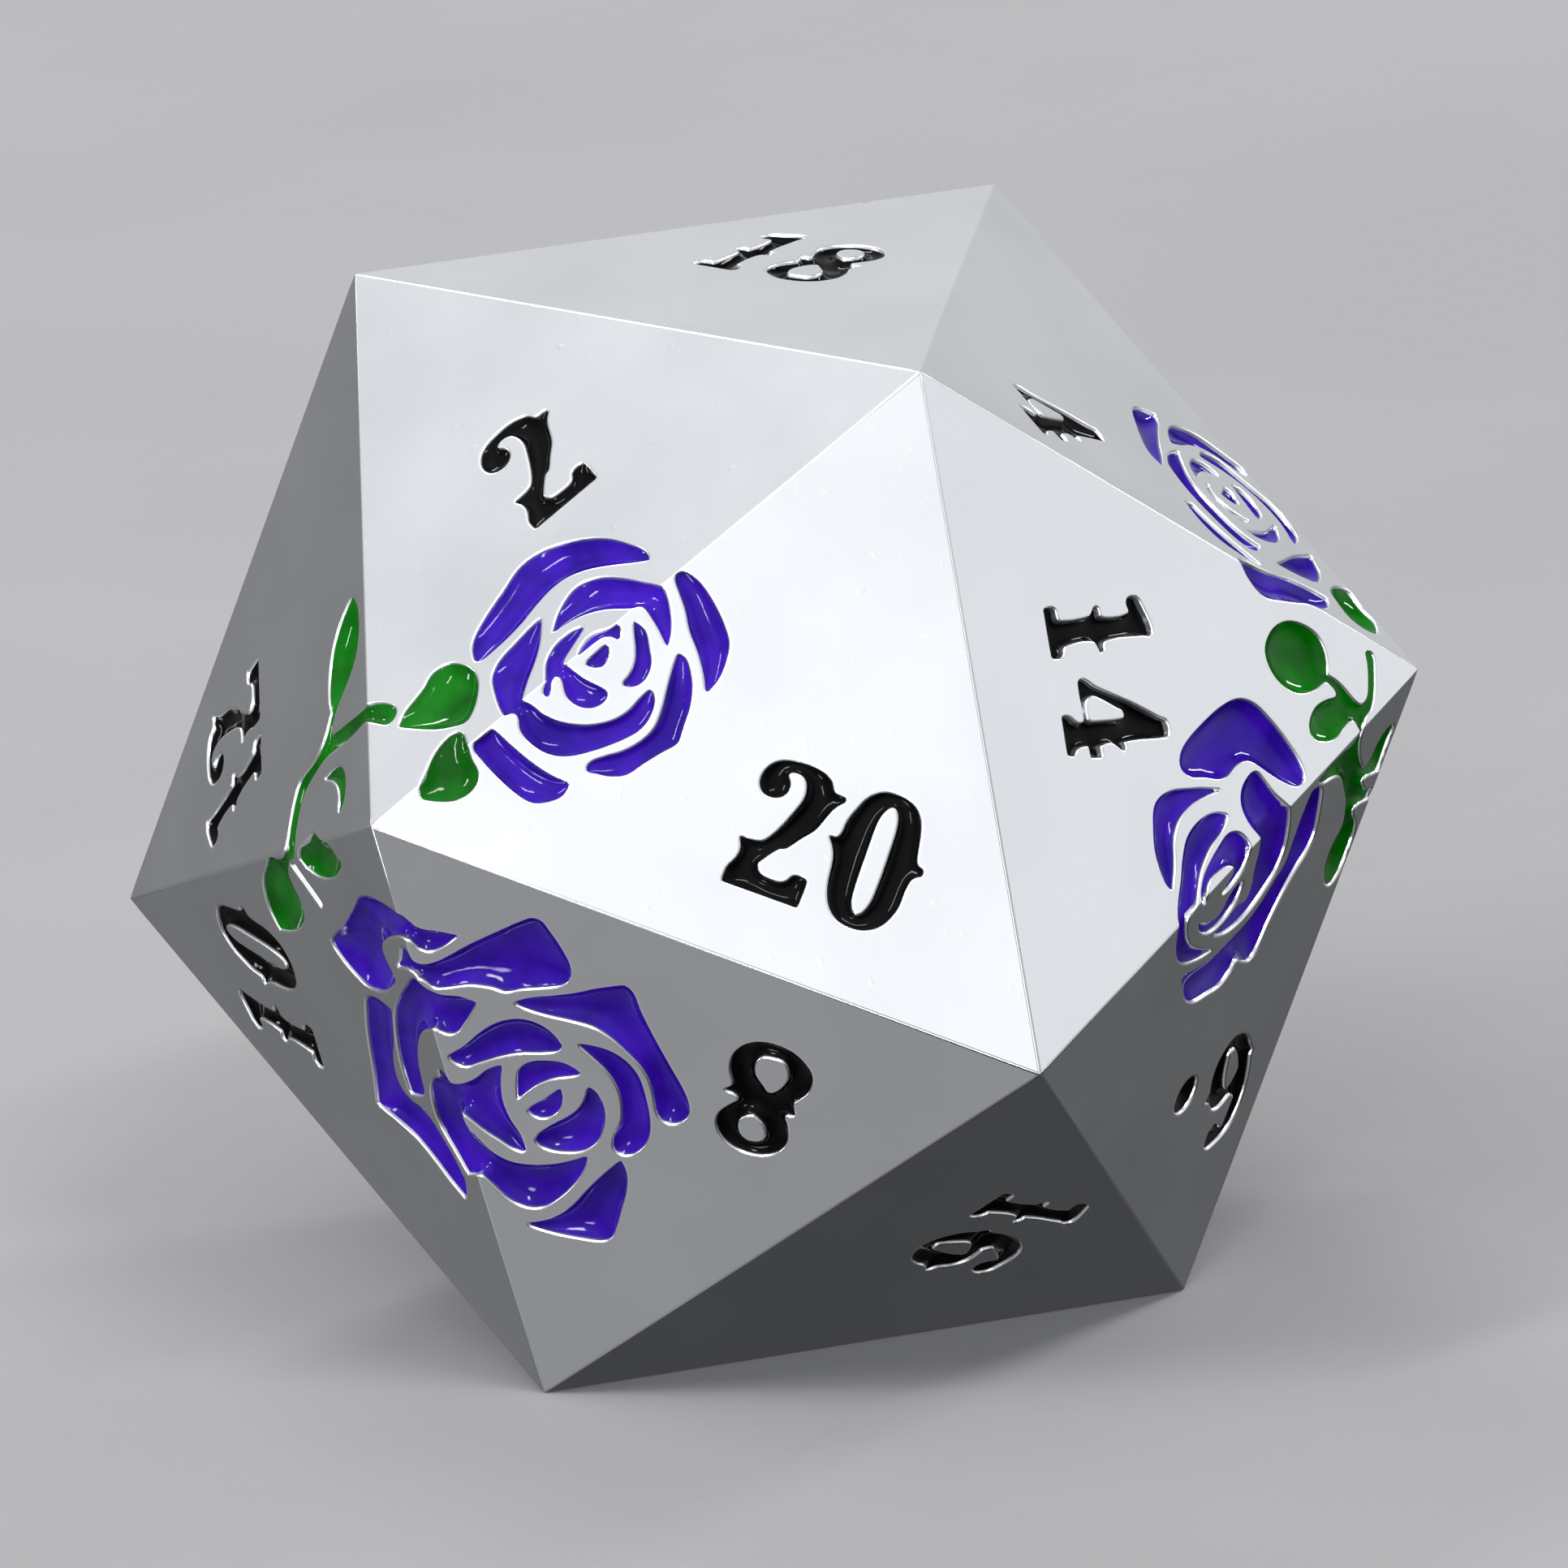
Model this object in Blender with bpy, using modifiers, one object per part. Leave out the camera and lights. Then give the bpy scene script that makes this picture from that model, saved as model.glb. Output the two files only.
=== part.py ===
"""Twenty-sided die: a solid cast metal body with numerals, roses and vines recessed
into its faces and filled with coloured enamel. Units are metres, +Z is up, and the die
rests on its face 3 with face 18 on top. The work is done in millimetres and scaled once."""
import math

import bpy
import bmesh
from mathutils import Matrix, Vector

# ---- driving dimensions (millimetres) ----
ACROSS_FACES = 35.0        # distance between two opposite faces
EDGE_BEVEL = 0.115         # how far the edge rounding reaches onto each face
BEVEL_STEPS = 2
POCKET_DEPTH = 0.8         # depth of every recess
ENAMEL_RECESS = 0.2        # how far the enamel lies below the face
FIT_GAP = 0.03             # clearance between the enamel and the metal
RUNNER_WIDTH = 0.34        # narrow runners that join the petals of one rose
RUNNER_GRIP = 0.30         # how far a runner reaches into a petal
OUTLINE_TOLERANCE = 0.10   # outlines are thinned to this accuracy
DIGIT_GAP = 3.0            # per cent of the edge, between two digits
DOT_RADIUS = 3.0           # per cent of the edge, beside the 6 and the 9
DOT_CORNERS = 14
METRE = 0.001
MITER_LIMIT = 2.5

GOLDEN = (1 + math.sqrt(5)) / 2
EDGE = ACROSS_FACES * math.sqrt(3) / GOLDEN ** 2
PERCENT = EDGE / 100
CENTRE = Vector((0, 0, ACROSS_FACES / 2))
INRADIUS = ACROSS_FACES / 2

METAL = ("metal", (0.72, 0.72, 0.74, 1.0), 1.0, 0.28)
BLACK = ("black", (0.006, 0.006, 0.007, 1.0), 0.0, 0.15)
PURPLE = ("purple", (0.05, 0.012, 0.38, 1.0), 0.0, 0.15)
GREEN = ("green", (0.003, 0.14, 0.006, 1.0), 0.0, 0.15)

# ---- artwork ----
# Each outline is a row of "x,y" points in percent of the edge length, measured in the frame of
# the edge, corner or face that carries it; "!" marks a sharp point.
ROSE_A = {
    "outer_top": "26.3,11! 27.2,13.2 28.6,14.6 30.6,15.7 33,16.7 36,17.8 38.8,18.9 41,19.2 43.5,18.8 46,17.7"
                 " 49,15.6 51.5,13 53.2,10 54.3,7 54.1,5.1! 52.5,6.3 50,8.5 47,10.8 44,12.2 41,12.5 38,12 35,11.2"
                 " 32,10.7 29,10.5 27.2,10.5",
    "left": "37.3,9.6! 35,9.4 32,8.9 29.5,8.5 27.8,7.8 26.5,6.6 25.5,4.4 24.7,2 24.3,0! 25.4,-0.5 25.8,-1.2"
            " 24.8,-2.8 24.7,-4.5 25.3,-6.8 26.5,-8.5 28.3,-9.8 30.5,-10.8 33,-11.7 35.5,-12.4 37.8,-12.7"
            " 40,-12.2 41.8,-11 42.5,-9.6! 40.5,-9.7 38,-10 35.5,-9.6 33,-8.4 31,-6.8 29.5,-5 28.5,-3 28.1,-1.2"
            " 27.4,0.2! 28.2,0.9 30,2.4 32.5,4.2 34.5,6 36,7.8",
    "right": "37.1,6.1! 39,7.8 41,9 43.5,9.7 45.5,9.3 47.5,7.9 49.5,5.5 51.3,2.5 52.6,0.3 52.7,-0.6 52.2,-2"
             " 51,-3.9 49.5,-5.6 48,-6.7! 48.6,-4.5 49,-2.2 49,-0.6 47.9,0.2 46.5,1.6 44.8,3.3 42.5,4.8 40,5.7",
    "heart": "40.9,3.3! 39.5,4 37.5,4.2 35.5,3.8 33.8,2.8 32.6,1.2 31.6,-0.2 30.4,-1.2 30.8,-1.9! 31.6,-1.2"
             " 32.4,-0.5 33.3,-0.3 33.8,-1 33.3,-2.1 32.8,-3.3 33,-4.8 33.8,-6 35.2,-6.8 36.8,-6.8 37.5,-6.2!"
             " 37,-4.8 36.2,-3.2 35.7,-1.5 35.4,0 35.1,0.6! 36,1.2 37.5,1.8 39.5,2.6",
    "arch": "37.6,-0.1! 38.5,0.7 40,1.2 41.5,1.1 42.8,0.4 43.8,-0.2 44.8,-0.3! 44.3,-1.2 43.4,-2! 43,-1 42,-0.4 40,-0.1",
    "seed": "37.6,-1.6! 39.7,-1.4 41.8,-1.4! 41,-2.5 39.6,-3.2 38.4,-2.7",
    "crescent": "46.7,-1.4! 47,-3.2 46,-5.1 44.8,-6.9 43.5,-7.8 41.8,-8.1 40.5,-7.6 39.7,-6.7! 41.5,-6.4"
                " 43.3,-5.5 44.7,-4 45.7,-2.6",
    "outer_low": "28.3,-12.4 29.5,-12 31.5,-12.6 34,-13.6 37,-14.1 39.5,-13.8 42,-12.5 44.5,-10.8 46.8,-9.3"
                 " 48.6,-8.3! 48.9,-9.3 48.3,-10.9 47,-12.8 45,-14.6 42.8,-15.9 41.5,-16.7 40.5,-17.2 38,-16.8"
                 " 35,-16.4 32.2,-16.1 30.3,-14.9 29,-13.4",
    "outer_right": "55.7,-0.1 56.7,-0.9 57.2,-3 56.9,-6 56.1,-9 54.9,-11.5 52.7,-13.2 50.5,-14.2 48.1,-14.6!"
                   " 49.8,-12 51,-9.5 51.9,-7 53.3,-4.5 54.3,-2 54.9,-0.6",
    "outer_left": "18.2,-0.6 20,-0.4 21.9,-0.5! 22.3,-3.5 23,-7 24,-10 25.2,-12.3! 23.5,-12.9 21.5,-12.4"
                  " 19.5,-11 18.6,-8.5 18.1,-5 18,-2.5",
}
ROSE_B = {
    "bar": "30.2,28! 31.5,28.8 35,29.1 40,29.9 45,30.9 49,31.7 52,31.8 53.7,31 54.5,29.3 54,27.8 52.5,27.2"
           " 50,27.4 47,27.5 44.5,27 42,25.8 39,24 37,22 35.5,19 34.3,16 33.2,13.8 31.9,12.1! 31.3,14.5 31.2,18"
           " 31,21 30.5,24",
    "arc": "39.7,19.2! 40.2,21 41.3,23.2 43.2,25 46,26.1 50,26.2 54,25.8 57,24.8 58.8,23.2 59.4,21.5 58.7,20"
           " 57,20 55.2,20.9 53.5,22 51,22.7 48,22.9 45,22.2 42.5,20.9",
    "drop": "47.2,18.9! 48.5,19.8 51,20.1 53.5,19.6 56,18.4 57.6,16.8 58.3,14.8 58,12 57.2,10.2 56,9.3!"
            " 54.8,10.2 53.5,12.2 52.2,14.8 50.8,16.8 49,18.1",
    "seed": "47.2,15! 49,14.8 51,13.8 52,12.2 51.9,10.7 50.7,9.5! 49.8,10.6 48.6,12.8",
    "crescent": "45,18.5! 43.8,17.6 42.8,16.3 42.3,14 42.4,11.8 43.5,10.2 45.5,9.4 47.3,9 48.6,8.7! 47.2,10.5"
                " 46,12.5 45.3,14.8 45.2,16.8",
    "left": "40,17! 38,16.3 36.2,15 35,13 34.8,11 35.3,8.8 36.8,6.2 38.8,3.6 40.4,0.9! 41.6,1.7 42.3,3 41.8,5"
            " 41,8 40.6,11 40.8,14 40.7,16.2",
    "low": "42.5,7.9! 45,7.1 48.5,6.5 52,6.8 55,7.6 57.8,7.7! 57.2,6.2 55.5,4.6 53.5,2.8 51.5,1.4 50.2,0.4!"
           " 52.5,0.5 55,1.6 57.5,3 59.3,5 60.1,7.5 60.3,10.5 60,13 59.2,15.9! 61.5,14.8 64,12.8 66.2,10.2"
           " 67.5,7.8 67.3,5.4 65.8,3.4 63.5,2 61.2,0.7! 61.5,-0.8 62.5,-3! 59.5,-4.7 56,-6.6 52.5,-7 49,-6.2"
           " 46.4,-4.4 45.2,-2.4 43.2,-2! 43.8,-0.5 45.2,0.3 45.3,2 44.5,4 43.2,5.8",
    "outer_right": "60.3,20.3! 62.5,20.5 65.5,19.8 69,18.2 72,16.8 73.7,15.7 74,14.3 73.3,11.5 72.2,8.3 71,5.8"
                   " 70.2,4.7! 70,7 69.2,9.5 67.5,12 65,14.6 62.5,17.5",
    "outer_left": "17.6,18! 18.2,19.2 20,19.9 23,20.8 26,21.3 28,21 29.3,19.8 29.6,17 29.6,14 29.9,11.5"
                  " 28.9,9.5 28.3,7 28.5,4 28.4,2 27,0.8 25.8,-1.5 27,-5.3! 25,-3.6 22,-1.8 22.2,-0.6 23.8,0.2"
                  " 24.4,2 23.3,5 21.5,8.5 20,12 18.5,15.5",
    "band_a": "19.8,7.4! 21.2,5.4 22.1,3.1 21.5,1.5 20,0.6 19.8,-1.2 20.8,-3.5 22.5,-6 24.5,-7.8 26.5,-7.9"
              " 28.5,-7.2 30.3,-7 31.8,-8.4 33.8,-10.8 35,-13.5 35.3,-16.5 34.2,-19.6 32.3,-22 30.4,-22.6!"
              " 28.3,-20.5 26,-18 23,-15.2 20,-12.6 17.3,-10.2 15.6,-6.7 15.2,-3 15.5,0.2 16.8,1.2 18.2,2.4 18.8,4.5",
    "band_b": "31.5,7.1! 33,6 34.8,4.6 36.5,3 36.3,1.3 35.4,0.2 36.2,-1.5 37.5,-3.5 39.8,-5.4 42.5,-6.8"
              " 45.5,-7.8 48.5,-8.2 50.5,-8.4 51.9,-9.8 52.9,-12.8! 49.5,-13 45.5,-12.6 41,-11.4 37,-9.8 33.5,-7.4"
              " 30.2,-4.4 27.8,-2 27.2,-0.4 28.5,0.7 29.8,2.5 30.3,5",
    "outer_low": "37.1,-10.9! 40.5,-12 44,-13.3 48,-15 51,-15.5 53.2,-14.8 54.3,-13 54.5,-10.5 56,-8.6"
                 " 58.5,-6.9 61,-5.5 64,-4.3! 66,-4.8 68.4,-5.9! 66.5,-9 64,-12 62,-15 60.8,-19 60,-23.9!"
                 " 57.5,-23.2 53,-21.9 49,-21 45,-20 41,-18.6 38.1,-17.2 36.8,-14.2",
}
ROSE_C = {
    "outer_left": "29.4,-1.1 28.4,-3 28.4,-7 29,-11 30,-14 32,-16 35.5,-17 40,-17.3 44,-17.2 46.5,-16.6"
                  " 47.8,-15.2 47,-13.3 45,-11.9 43,-10.3 41,-9.6 38.5,-9.7 37,-9.3 35.8,-8.3 34.3,-5.5"
                  " 32.8,-3 31.2,-1.3",
    "arch": "33.9,5 34.3,8 36,10.5 39,12 42.5,13 46,13.1 49.5,12.3 53.2,10.1! 50,9.8 47,9.4 44.6,9.9 43.4,8.5"
            " 43,6 42.1,2.5 42,0 42.4,-2.5 42,-5 40.5,-6.6 38,-7.3 36.3,-7 35.9,-5.5 35.6,-3 34.9,-1 34.1,1.5",
    "outer_top": "25,5 25.2,9 25.8,12 27.5,13.7 30,14.9 33,16.9 36.5,20.1 39,22.9 41,23.9 43.2,22.6 45.2,20.7!"
                 " 46.8,21.9 49.5,22.4 53,21.3 56.5,20 58.9,18 60.4,15 61.1,11.8! 58.5,12.8 55.5,14 52,14.9"
                 " 48,15.1 43,15 39.5,14 36.5,12.5 34,11.3 32.5,8.8 31,6 29.3,3.3 28.2,1.9! 26.4,2.5 25.3,3.5",
    "right": "53,12.8! 56,11.9 58.8,10.6 61.3,9 62.9,7 63.7,4.5 63.8,1.5 63.2,-0.6 61.5,-2.3 59,-4.1 56.5,-6.1"
             " 54,-7.6 51.5,-8.1 48.8,-7.9 46.5,-7 45,-5.7! 47.5,-4.8 51,-4.4 54.5,-3.2 57,-1.6 59,-0.1 60.6,0.6"
             " 61.3,2 60.9,4.4 59.8,6.8 57.8,9 55.5,11",
    "curl": "46,5.4 46.3,7 48,8.4 50.5,9 53.5,8.8 56,7.5 57.5,5.6 58.1,4.1! 56,5.6 53.5,6.9 51.5,6.8 50,5.6 48,4.8",
    "heart": "44.5,-1.5 44.8,0.5 45.8,2.3 47.5,3.3 50,3.7 52.1,3.3! 50.5,2.1 49,1 49.8,-0.7 52,-1.2 54.5,-1.2"
             " 56,-0.2 56.5,1.5! 57.5,0.5 57.1,-0.7 55,-2.1 52.5,-2.9 49.5,-3.5 47,-3.8 45.2,-3",
    "outer_low": "43.6,-8.9! 46.5,-9.9 50,-10.6 53.5,-10.3 56,-8.9 58.5,-6.3 61.3,-4.1! 61.6,-5.5 61.1,-7.5"
                 " 60,-9.9 58,-12.3 56,-14.1 54,-14.5 51.5,-13.9 49,-12.5 46.5,-11",
}
ROSE_D = {
    "outer_left": "54.2,20.3 54.1,24 54.9,29 55.8,32.5 58,34.8 61.8,36! 61.6,34.2 60.3,31 58.8,27 57.5,22.5 56,18.4!",
    "outer_top": "62.1,29! 62.8,32 64.5,34.8 67.3,36.8 70.5,37.5 74,36.9 77,36 79.4,35 79.1,33.4 76,33.5 73,34.1"
                 " 70,33.8 67,32.3 64.5,30.4",
    "arc": "68.5,30.4! 69.5,32 71.5,33 74,32.8 76.5,31.5 79,30.2 81.5,28.9 83.5,27.2 84.8,25 85,22.5 84,20.2"
           " 82.5,18.7! 82.5,21 82,23.5 80.5,26 78.5,27.9 76,29.3 73,30.1",
    "left": "62.9,27.4! 60.8,25.6 59,23.2 58.1,20.5 58.6,17.8 59.8,15 61.5,12.5 63.5,10.3 65.8,8.3 68,7.4"
            " 70.3,7.9 72.4,10.3! 70,10.6 67.5,12 65.5,14 64,16 62.8,18.5 62.3,21 62.4,24",
    "curl_left": "64.1,21.8! 64.1,24.5 65.3,26.8 67,28.3 69,28.4 71.3,27.1! 69,26.5 67,25.6 65.5,24",
    "curl_right": "73.3,26.7! 75,27 76.9,25.6 77.8,23.6 77.3,21.6 75.8,20! 75,22 74.3,24",
    "seed": "68.9,20.9! 70.1,22.8 71.2,24.3 72.6,23.2 72.6,21.4 71,20.5",
    "heart": "66.5,21.9! 65.7,20.2 66.1,18.3 67.5,16.7 69.5,15.8 71.5,16.1 73.1,17.4! 71,17.1 69,17.4 67.5,18.6 66.9,20",
    "crescent": "70.8,13.2! 73,13.2 75.8,14.2 78.1,15.9 79.5,18.4 79.9,21.2! 78.3,19.4 76.8,17.4 75,15.8 73,14.5",
    "outer_right": "74.5,7.7! 77,7.9 80.5,8.6 83.3,9.6 85.1,12 86.1,15 86,18.2! 83.5,16.3 81,14.3 78.8,12.1 76.8,9.9",
    "outer_low": "63.5,0.4! 66,-1.1 69.5,-2 73,-1.3 77,-0.2 80.5,1 83,3.2 84.1,5.8! 81.5,5.9 78,5.3 74.5,4.3"
                 " 71,2.8 67.8,2 65.3,1.6",
    "low_left": "57.1,10.4! 57.9,8 59.4,5.6 61.4,4 64,3.3 67,3.1 69.7,3.5! 66.5,5.1 63.8,6.6 61.2,8.6 58.8,11!",
}
LEAVES_A = {
    "leaf_1": "12.2,10.7! 14,12 16.5,12.7 18.5,13.3 20,14.1 21.5,14.3 23.4,13.6 24.7,11.8 25.1,9.5 24.5,7.7 23,5.8"
              " 21.2,4.3 19.6,3.7 17.8,4.6 15.8,6.2 14,8.3",
    "leaf_2": "8,-1.6! 9,0 11,1.3 13.5,2.8 15.8,3.4 17.6,3.3 18.3,2.4! 17.6,0 16.8,-1.8 16.5,-3.3 15.6,-4.4"
              " 13.5,-4.9 11.5,-4.5 9.6,-3.2",
}
VINE_C = {
    "stem": "-40.3,17! -38,20 -34.5,21.4 -31,21 -28.6,20.5 -27.3,18.7 -25.5,17.7 -23.5,18 -21.5,20 -18.5,22.5"
            " -16,23.5 -12,22.9 -9.8,22.8 -7,23.5 -4.2,25.3! -4,28 -2.5,31.2 0,33.9 3.5,35.6 7.6,36.5! 8.4,33.5"
            " 7.6,30 5.8,27.4 3,25.9 0,25.1 -3,24.3! -5.8,22.4! -2,20.7 3,18.5 6,17.3 8.4,14.8 8.6,13.1 7.2,12.4"
            " 5.8,14 4.5,15.5 0,17 -4,18.7 -8,20.4 -12,20.9 -15.5,20.8 -18,19.5 -20.3,17.3 -21.3,15.8 -23.3,15.6"
            " -25.4,16.5 -27.6,16.3 -28.8,15 -30,13.2 -32.5,12 -35.5,12.8 -38,14.6",
    "leaf_3": "-22.3,14 -20.5,14.6 -18,14 -15.6,13.2 -14.5,11 -13.4,9.3 -13.1,7.5 -13.7,5.2! -16,5.8 -18.5,7"
              " -20.6,9 -21.9,11.5",
    "bud": "-9.7,17.8! -7.5,17.3 -5.5,16.3 -4.2,14.5 -4.1,12.5 -4.9,10.9 -6,9.9 -7.7,9.7 -6.9,11.5 -6.6,13.2"
           " -7.3,15.2 -8.5,16.7",
}
VINE_F = {
    "vine": "9.2,-17.2 8.3,-14.5 8.8,-12 10.2,-10 11.3,-9.1! 10.8,-7.5 10.7,-5.5 10.8,-3.6 10.5,-2.4! 9,-2.5 7,-4.1"
            " 5.3,-5.9 4.3,-7.4! 3.8,-6.3 5.5,-4.3 7.8,-2.2 9.8,-1 11.3,-0.8 12.2,0.4 12.5,2 12.1,4 11,6.5 9.3,9.2!"
            " 8,8.4 7,6.8 5.2,5.8 3.5,6.4 2.9,8.2 3.5,10.5 4.5,13! 6.5,12 8.7,11.2 8.3,12.7 7.1,14.2 5.3,15.4"
            " 5,17! 7,16 9.2,15.3 9.3,16.6 8,18.6 7.5,21 7.9,23.6 9,25.6 11,26.4 12.6,25.2 13.7,23 14.1,20.5"
            " 13.4,18.2 11.9,16.7 11.7,15 12.5,12 14.2,8.2 16,5.2 18,3.8 20.5,2.8 22.4,1.3! 20,0.7 17,0.9 14.8,1.4"
            " 13.5,0.7 13,-0.9 12.9,-1.9 14.5,-2.1 16.5,-1.9 18.4,-2.8 19.3,-4.3 18.4,-6 16,-7 14,-6.6 12.4,-5.9"
            " 11.8,-7 12,-8.6! 14,-8.9 16.2,-10.1 17.3,-12.5 17.1,-15.5 15.6,-18.1 13,-19.2 10.8,-18.8",
}
LEAF_D = {
    "leaf_4": "86.4,7 86.1,9 87.5,11.1 89.5,12.8 91.5,13.4 93.5,11.7! 94.4,9.5 94.3,6.5 93.1,3.9 90.5,2.9 88,3.4 86.9,5",
}
GLYPHS = {
    "0": ["7.3,0.1 9.3,0.5 10.9,1.6 11.9,3.2 12.5,5.3 12.5,7 12.7,8.9 13.1,9.7 14.1,10.3! 13.9,11.1 12.9,11.5"
          " 12.4,12.9 12,14.9 11.3,17.2 10.1,18.8 8.6,19.5 6.6,19.7 4.9,19.3 3.3,17.9 2.4,16 1.7,13.9 1.5,11.9"
          " 1.1,11.2 0,11.1! 1.1,9.6 1.7,7.9 2,5.7 2.4,3.8 3.4,1.8 5,0.5",
          "7.3,1.9 8.3,2.9 8.8,5.4 8.7,13.4 8.4,16.2 7.7,17.7 7,18 6.2,17.3 5.6,15.3 5.6,10.4 5.7,5.9 6,3.4 6.6,2.3"],
    "1": ["0.1,0! 7.1,0! 7.2,1.5 6.6,2.4 5.6,2.9 5.4,8.5 7.1,9.5! 6.9,10.2 5.5,10.8 5.4,18.2 5.6,19.5 5,20.1"
          " 3.5,19.9 1.5,19.1 0.1,18.4 -0.2,17.4 0,16.4 0.8,16.1 2.1,16.2 2.2,10.8 0.7,10.4 0.7,9.6! 1.9,8.5"
          " 2.1,2.7 1.6,2.3 0.4,2.2 0,1.5"],
    "2": ["0,0! 11.2,0.1! 11.2,3.9 10.7,4.2 9.3,4.1 8.6,3 7.5,2.5 4.5,2.8 3.8,4! 4.6,5.2 6,7 6.8,7.3 8.3,9.3"
          " 9.8,11.2 10.5,13 11.3,15 12.5,16.4! 12.2,16.8 10.5,17 9.7,18.2 8.3,19 6.3,19.3 3.8,19.1 1.8,18.4"
          " 0.6,17 0.2,15.3 0.7,14 2,13.4 3.6,13.8 4.4,15 4.2,16.2 3.6,17.2 4.6,17.8 6.1,17.4 6.8,16 6.9,14.5"
          " 6.3,12.5 5.1,9.5 3.7,7.3 2.3,6.8 0.3,6.7! 1,5 0.8,3.5 0.1,2"],
    "3": ["6,0 8.4,0.5 10.3,1.7 11.3,3.6 11.4,5.8 10.8,7.8 9.6,9.2! 11,10.2! 9.8,10.9 10.8,12.6 11,14.6 10.3,16.8"
          " 8.7,18.6 6.6,19.4 4.2,19.4 2.1,18.6 0.8,17 0.7,15.2 1.5,13.9 3,13.6 4.3,14.4 4.5,15.8 3.9,17 4.9,17.7"
          " 6.4,17.2 7.1,15.6 6.9,13.4 5.8,11.6 3.6,10.5! 3.6,9.3! 5.9,8.6 7.2,6.8 7.4,4.4 6.6,2.5 5.1,1.9 4,2.6"
          " 4.6,3.8 4.3,5.2 3,6 1.4,5.6 0.4,4.2 0.7,2.4 2.2,0.9 4,0.2"],
    "4": ["4.8,0! 10.3,-0.1! 10.5,1.1 9.7,1.8 9.4,2.6 9.3,4.2! 11.1,4.3! 11.2,6.5! 9.5,6.5! 9.3,8.7 10.7,10.7!"
          " 10.3,11.4 9.4,11.2 9.5,19.1! 9.2,20 7.2,19.9 6.7,18.8 4.3,14.2 1.2,7.2 0.2,5.8 0,4.6 0.4,4.2 5.8,4.2!"
          " 6.1,3.7 5.9,2.5 5,1.4",
          "6.2,11.6 5.9,12 5,11.9 4.6,11.2 2.4,6.9 2.5,6 3,5.1 5.7,4.9 6.1,6"],
    "5": ["5.7,0 8.2,0.4 10.2,1.8 11.3,4 11.5,6.6 10.9,9.2 9.4,11 7.2,11.9 5.2,11.6 3.9,10.8! 4.1,14.6! 7,14.5"
          " 9.2,15 10.4,16.6 11,19.5! 9.6,18.9 1.6,19.2! 2,18 1.7,13 1.2,10! 0.2,9.2! 1.6,8.6 3.1,8.9 4.9,10"
          " 6.4,9.6 7.3,7.8 7.5,5 6.8,2.8 5.4,1.9 4,2.4 4.5,3.9 4.1,5.4 2.7,6 1.1,5.4 0.4,3.9 0.8,2.1 2.2,0.8 3.8,0.2"],
    "6": ["6.4,0 3.9,1 1.9,3.3 0.8,6.1 0,7.5! 0.6,8.3 0.7,11.3 1.2,14.3 2.5,17.1 4.4,19 6.4,19.6 8.9,19.5 10.9,19"
          " 11.6,17.5 11,15.9 9.6,15.3 8.2,16.1 7.4,17.5 6.4,16.5 5,14.3 4.5,13.3 5.7,11.9! 8.4,12.2 10.4,11.3"
          " 11.7,8.8 13,7.9! 11.7,6.3 11.4,4.3 10.4,2 8.4,0.4",
          "6.9,10 4.9,9 4,7.8 4.4,5.3 5.1,3.3 5.9,2.3 7,2.6 7.4,4.3 7.7,7.3 7.4,9.2"],
    "7": ["3.2,0! 8.4,0! 8,1.4 7.2,2.6 7,5 7.6,7.6! 8.8,8.2! 7.9,9.4 8.9,12.4 10.9,15.6 11.9,18 11.9,19.5!"
          " 10.7,18.9 1.6,19! 0.9,19.8! 0.3,18.6 0.5,14.8 0.1,13.2! 1.6,13.4 2.5,14.8 3.9,15.9 7.3,15.8! 5.9,13.2"
          " 4.6,10.3 3,9.6! 4.1,8.6 3.9,5 3.6,2.4 3.1,1.2"],
    "8": ["5.6,20.2 3.4,19.8 1.4,18.5 0.5,16.8 0.5,15.1 1.2,13.1 1.9,11.5 0.5,10.9! 1,10.1 1.4,8.9 0.6,7.5 0,6"
          " 0,4.1 0.7,2.5 2.2,1.2 3.7,0.4 5.9,0 8.4,0.4 10.4,1.7 11.5,3.6 11.7,5.3 11.3,7.2 10.6,8.5 10.3,9.5"
          " 11.3,10.8! 8.9,11.4 9.7,13.1 10.6,14.7 10.8,16.3 10.2,17.9 8.7,19.4 6.9,20.1",
          "5.7,18.1 7,17.5 7.8,15.9 7.4,14.3 6.2,13.3! 4.4,14.3 3.5,15.7 3.6,17.1 4.6,17.9",
          "5.2,8.7 6.4,7.8 7.9,6.3 8.4,4.3 7.8,2.9 6.4,2.4 4.6,2.4 3.7,3.4 3.2,4.8 3.4,6.3 4.1,7.9"],
}

# number: (corner order, left edge of each digit, foot height, frame origin, frame turn)
NUMERALS = {
    20: ("cba", (48.7, 60.7), 10.0, None, 0),
    2: ("cad", (45.0,), 24.4, None, 0),
    14: ("abf", (35.1, 45.7), 15.8, None, 0),
    8: ("bcg", (29.6,), 11.7, None, 0),
    16: ("bgh", (31.6, 41.6), 26.7, None, 0),
    6: ("fbh", (37.0,), 40.0, None, 0),
    10: ("gci", (40.0, 50.2), 39.5, None, 0),
    18: ("dae", (38.2, 48.8), 29.4, None, 0),
    12: ("cdi", (37.4, 47.3), 38.0, None, 0),
    4: ("afe", (-5.6,), -10.0, (32.5, 13.5), -60),
}


# ---- the corners and faces of the icosahedron ----
def ring(names, radius, height, start):
    """Three corners at one height, a third of a turn apart."""
    out = {}
    for step, name in enumerate(names):
        angle = math.radians(start + 120 * step)
        out[name] = Vector((radius * math.cos(angle), radius * math.sin(angle), height))
    return out


def die_corners():
    small = EDGE / math.sqrt(3)
    large = small * GOLDEN
    corners = ring("ghm", small, 0, 210)
    corners.update(ring("bki", large, small, 270))
    corners.update(ring("cfj", large, ACROSS_FACES - small, 210))
    corners.update(ring("aed", small, ACROSS_FACES, 270))
    return corners


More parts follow.
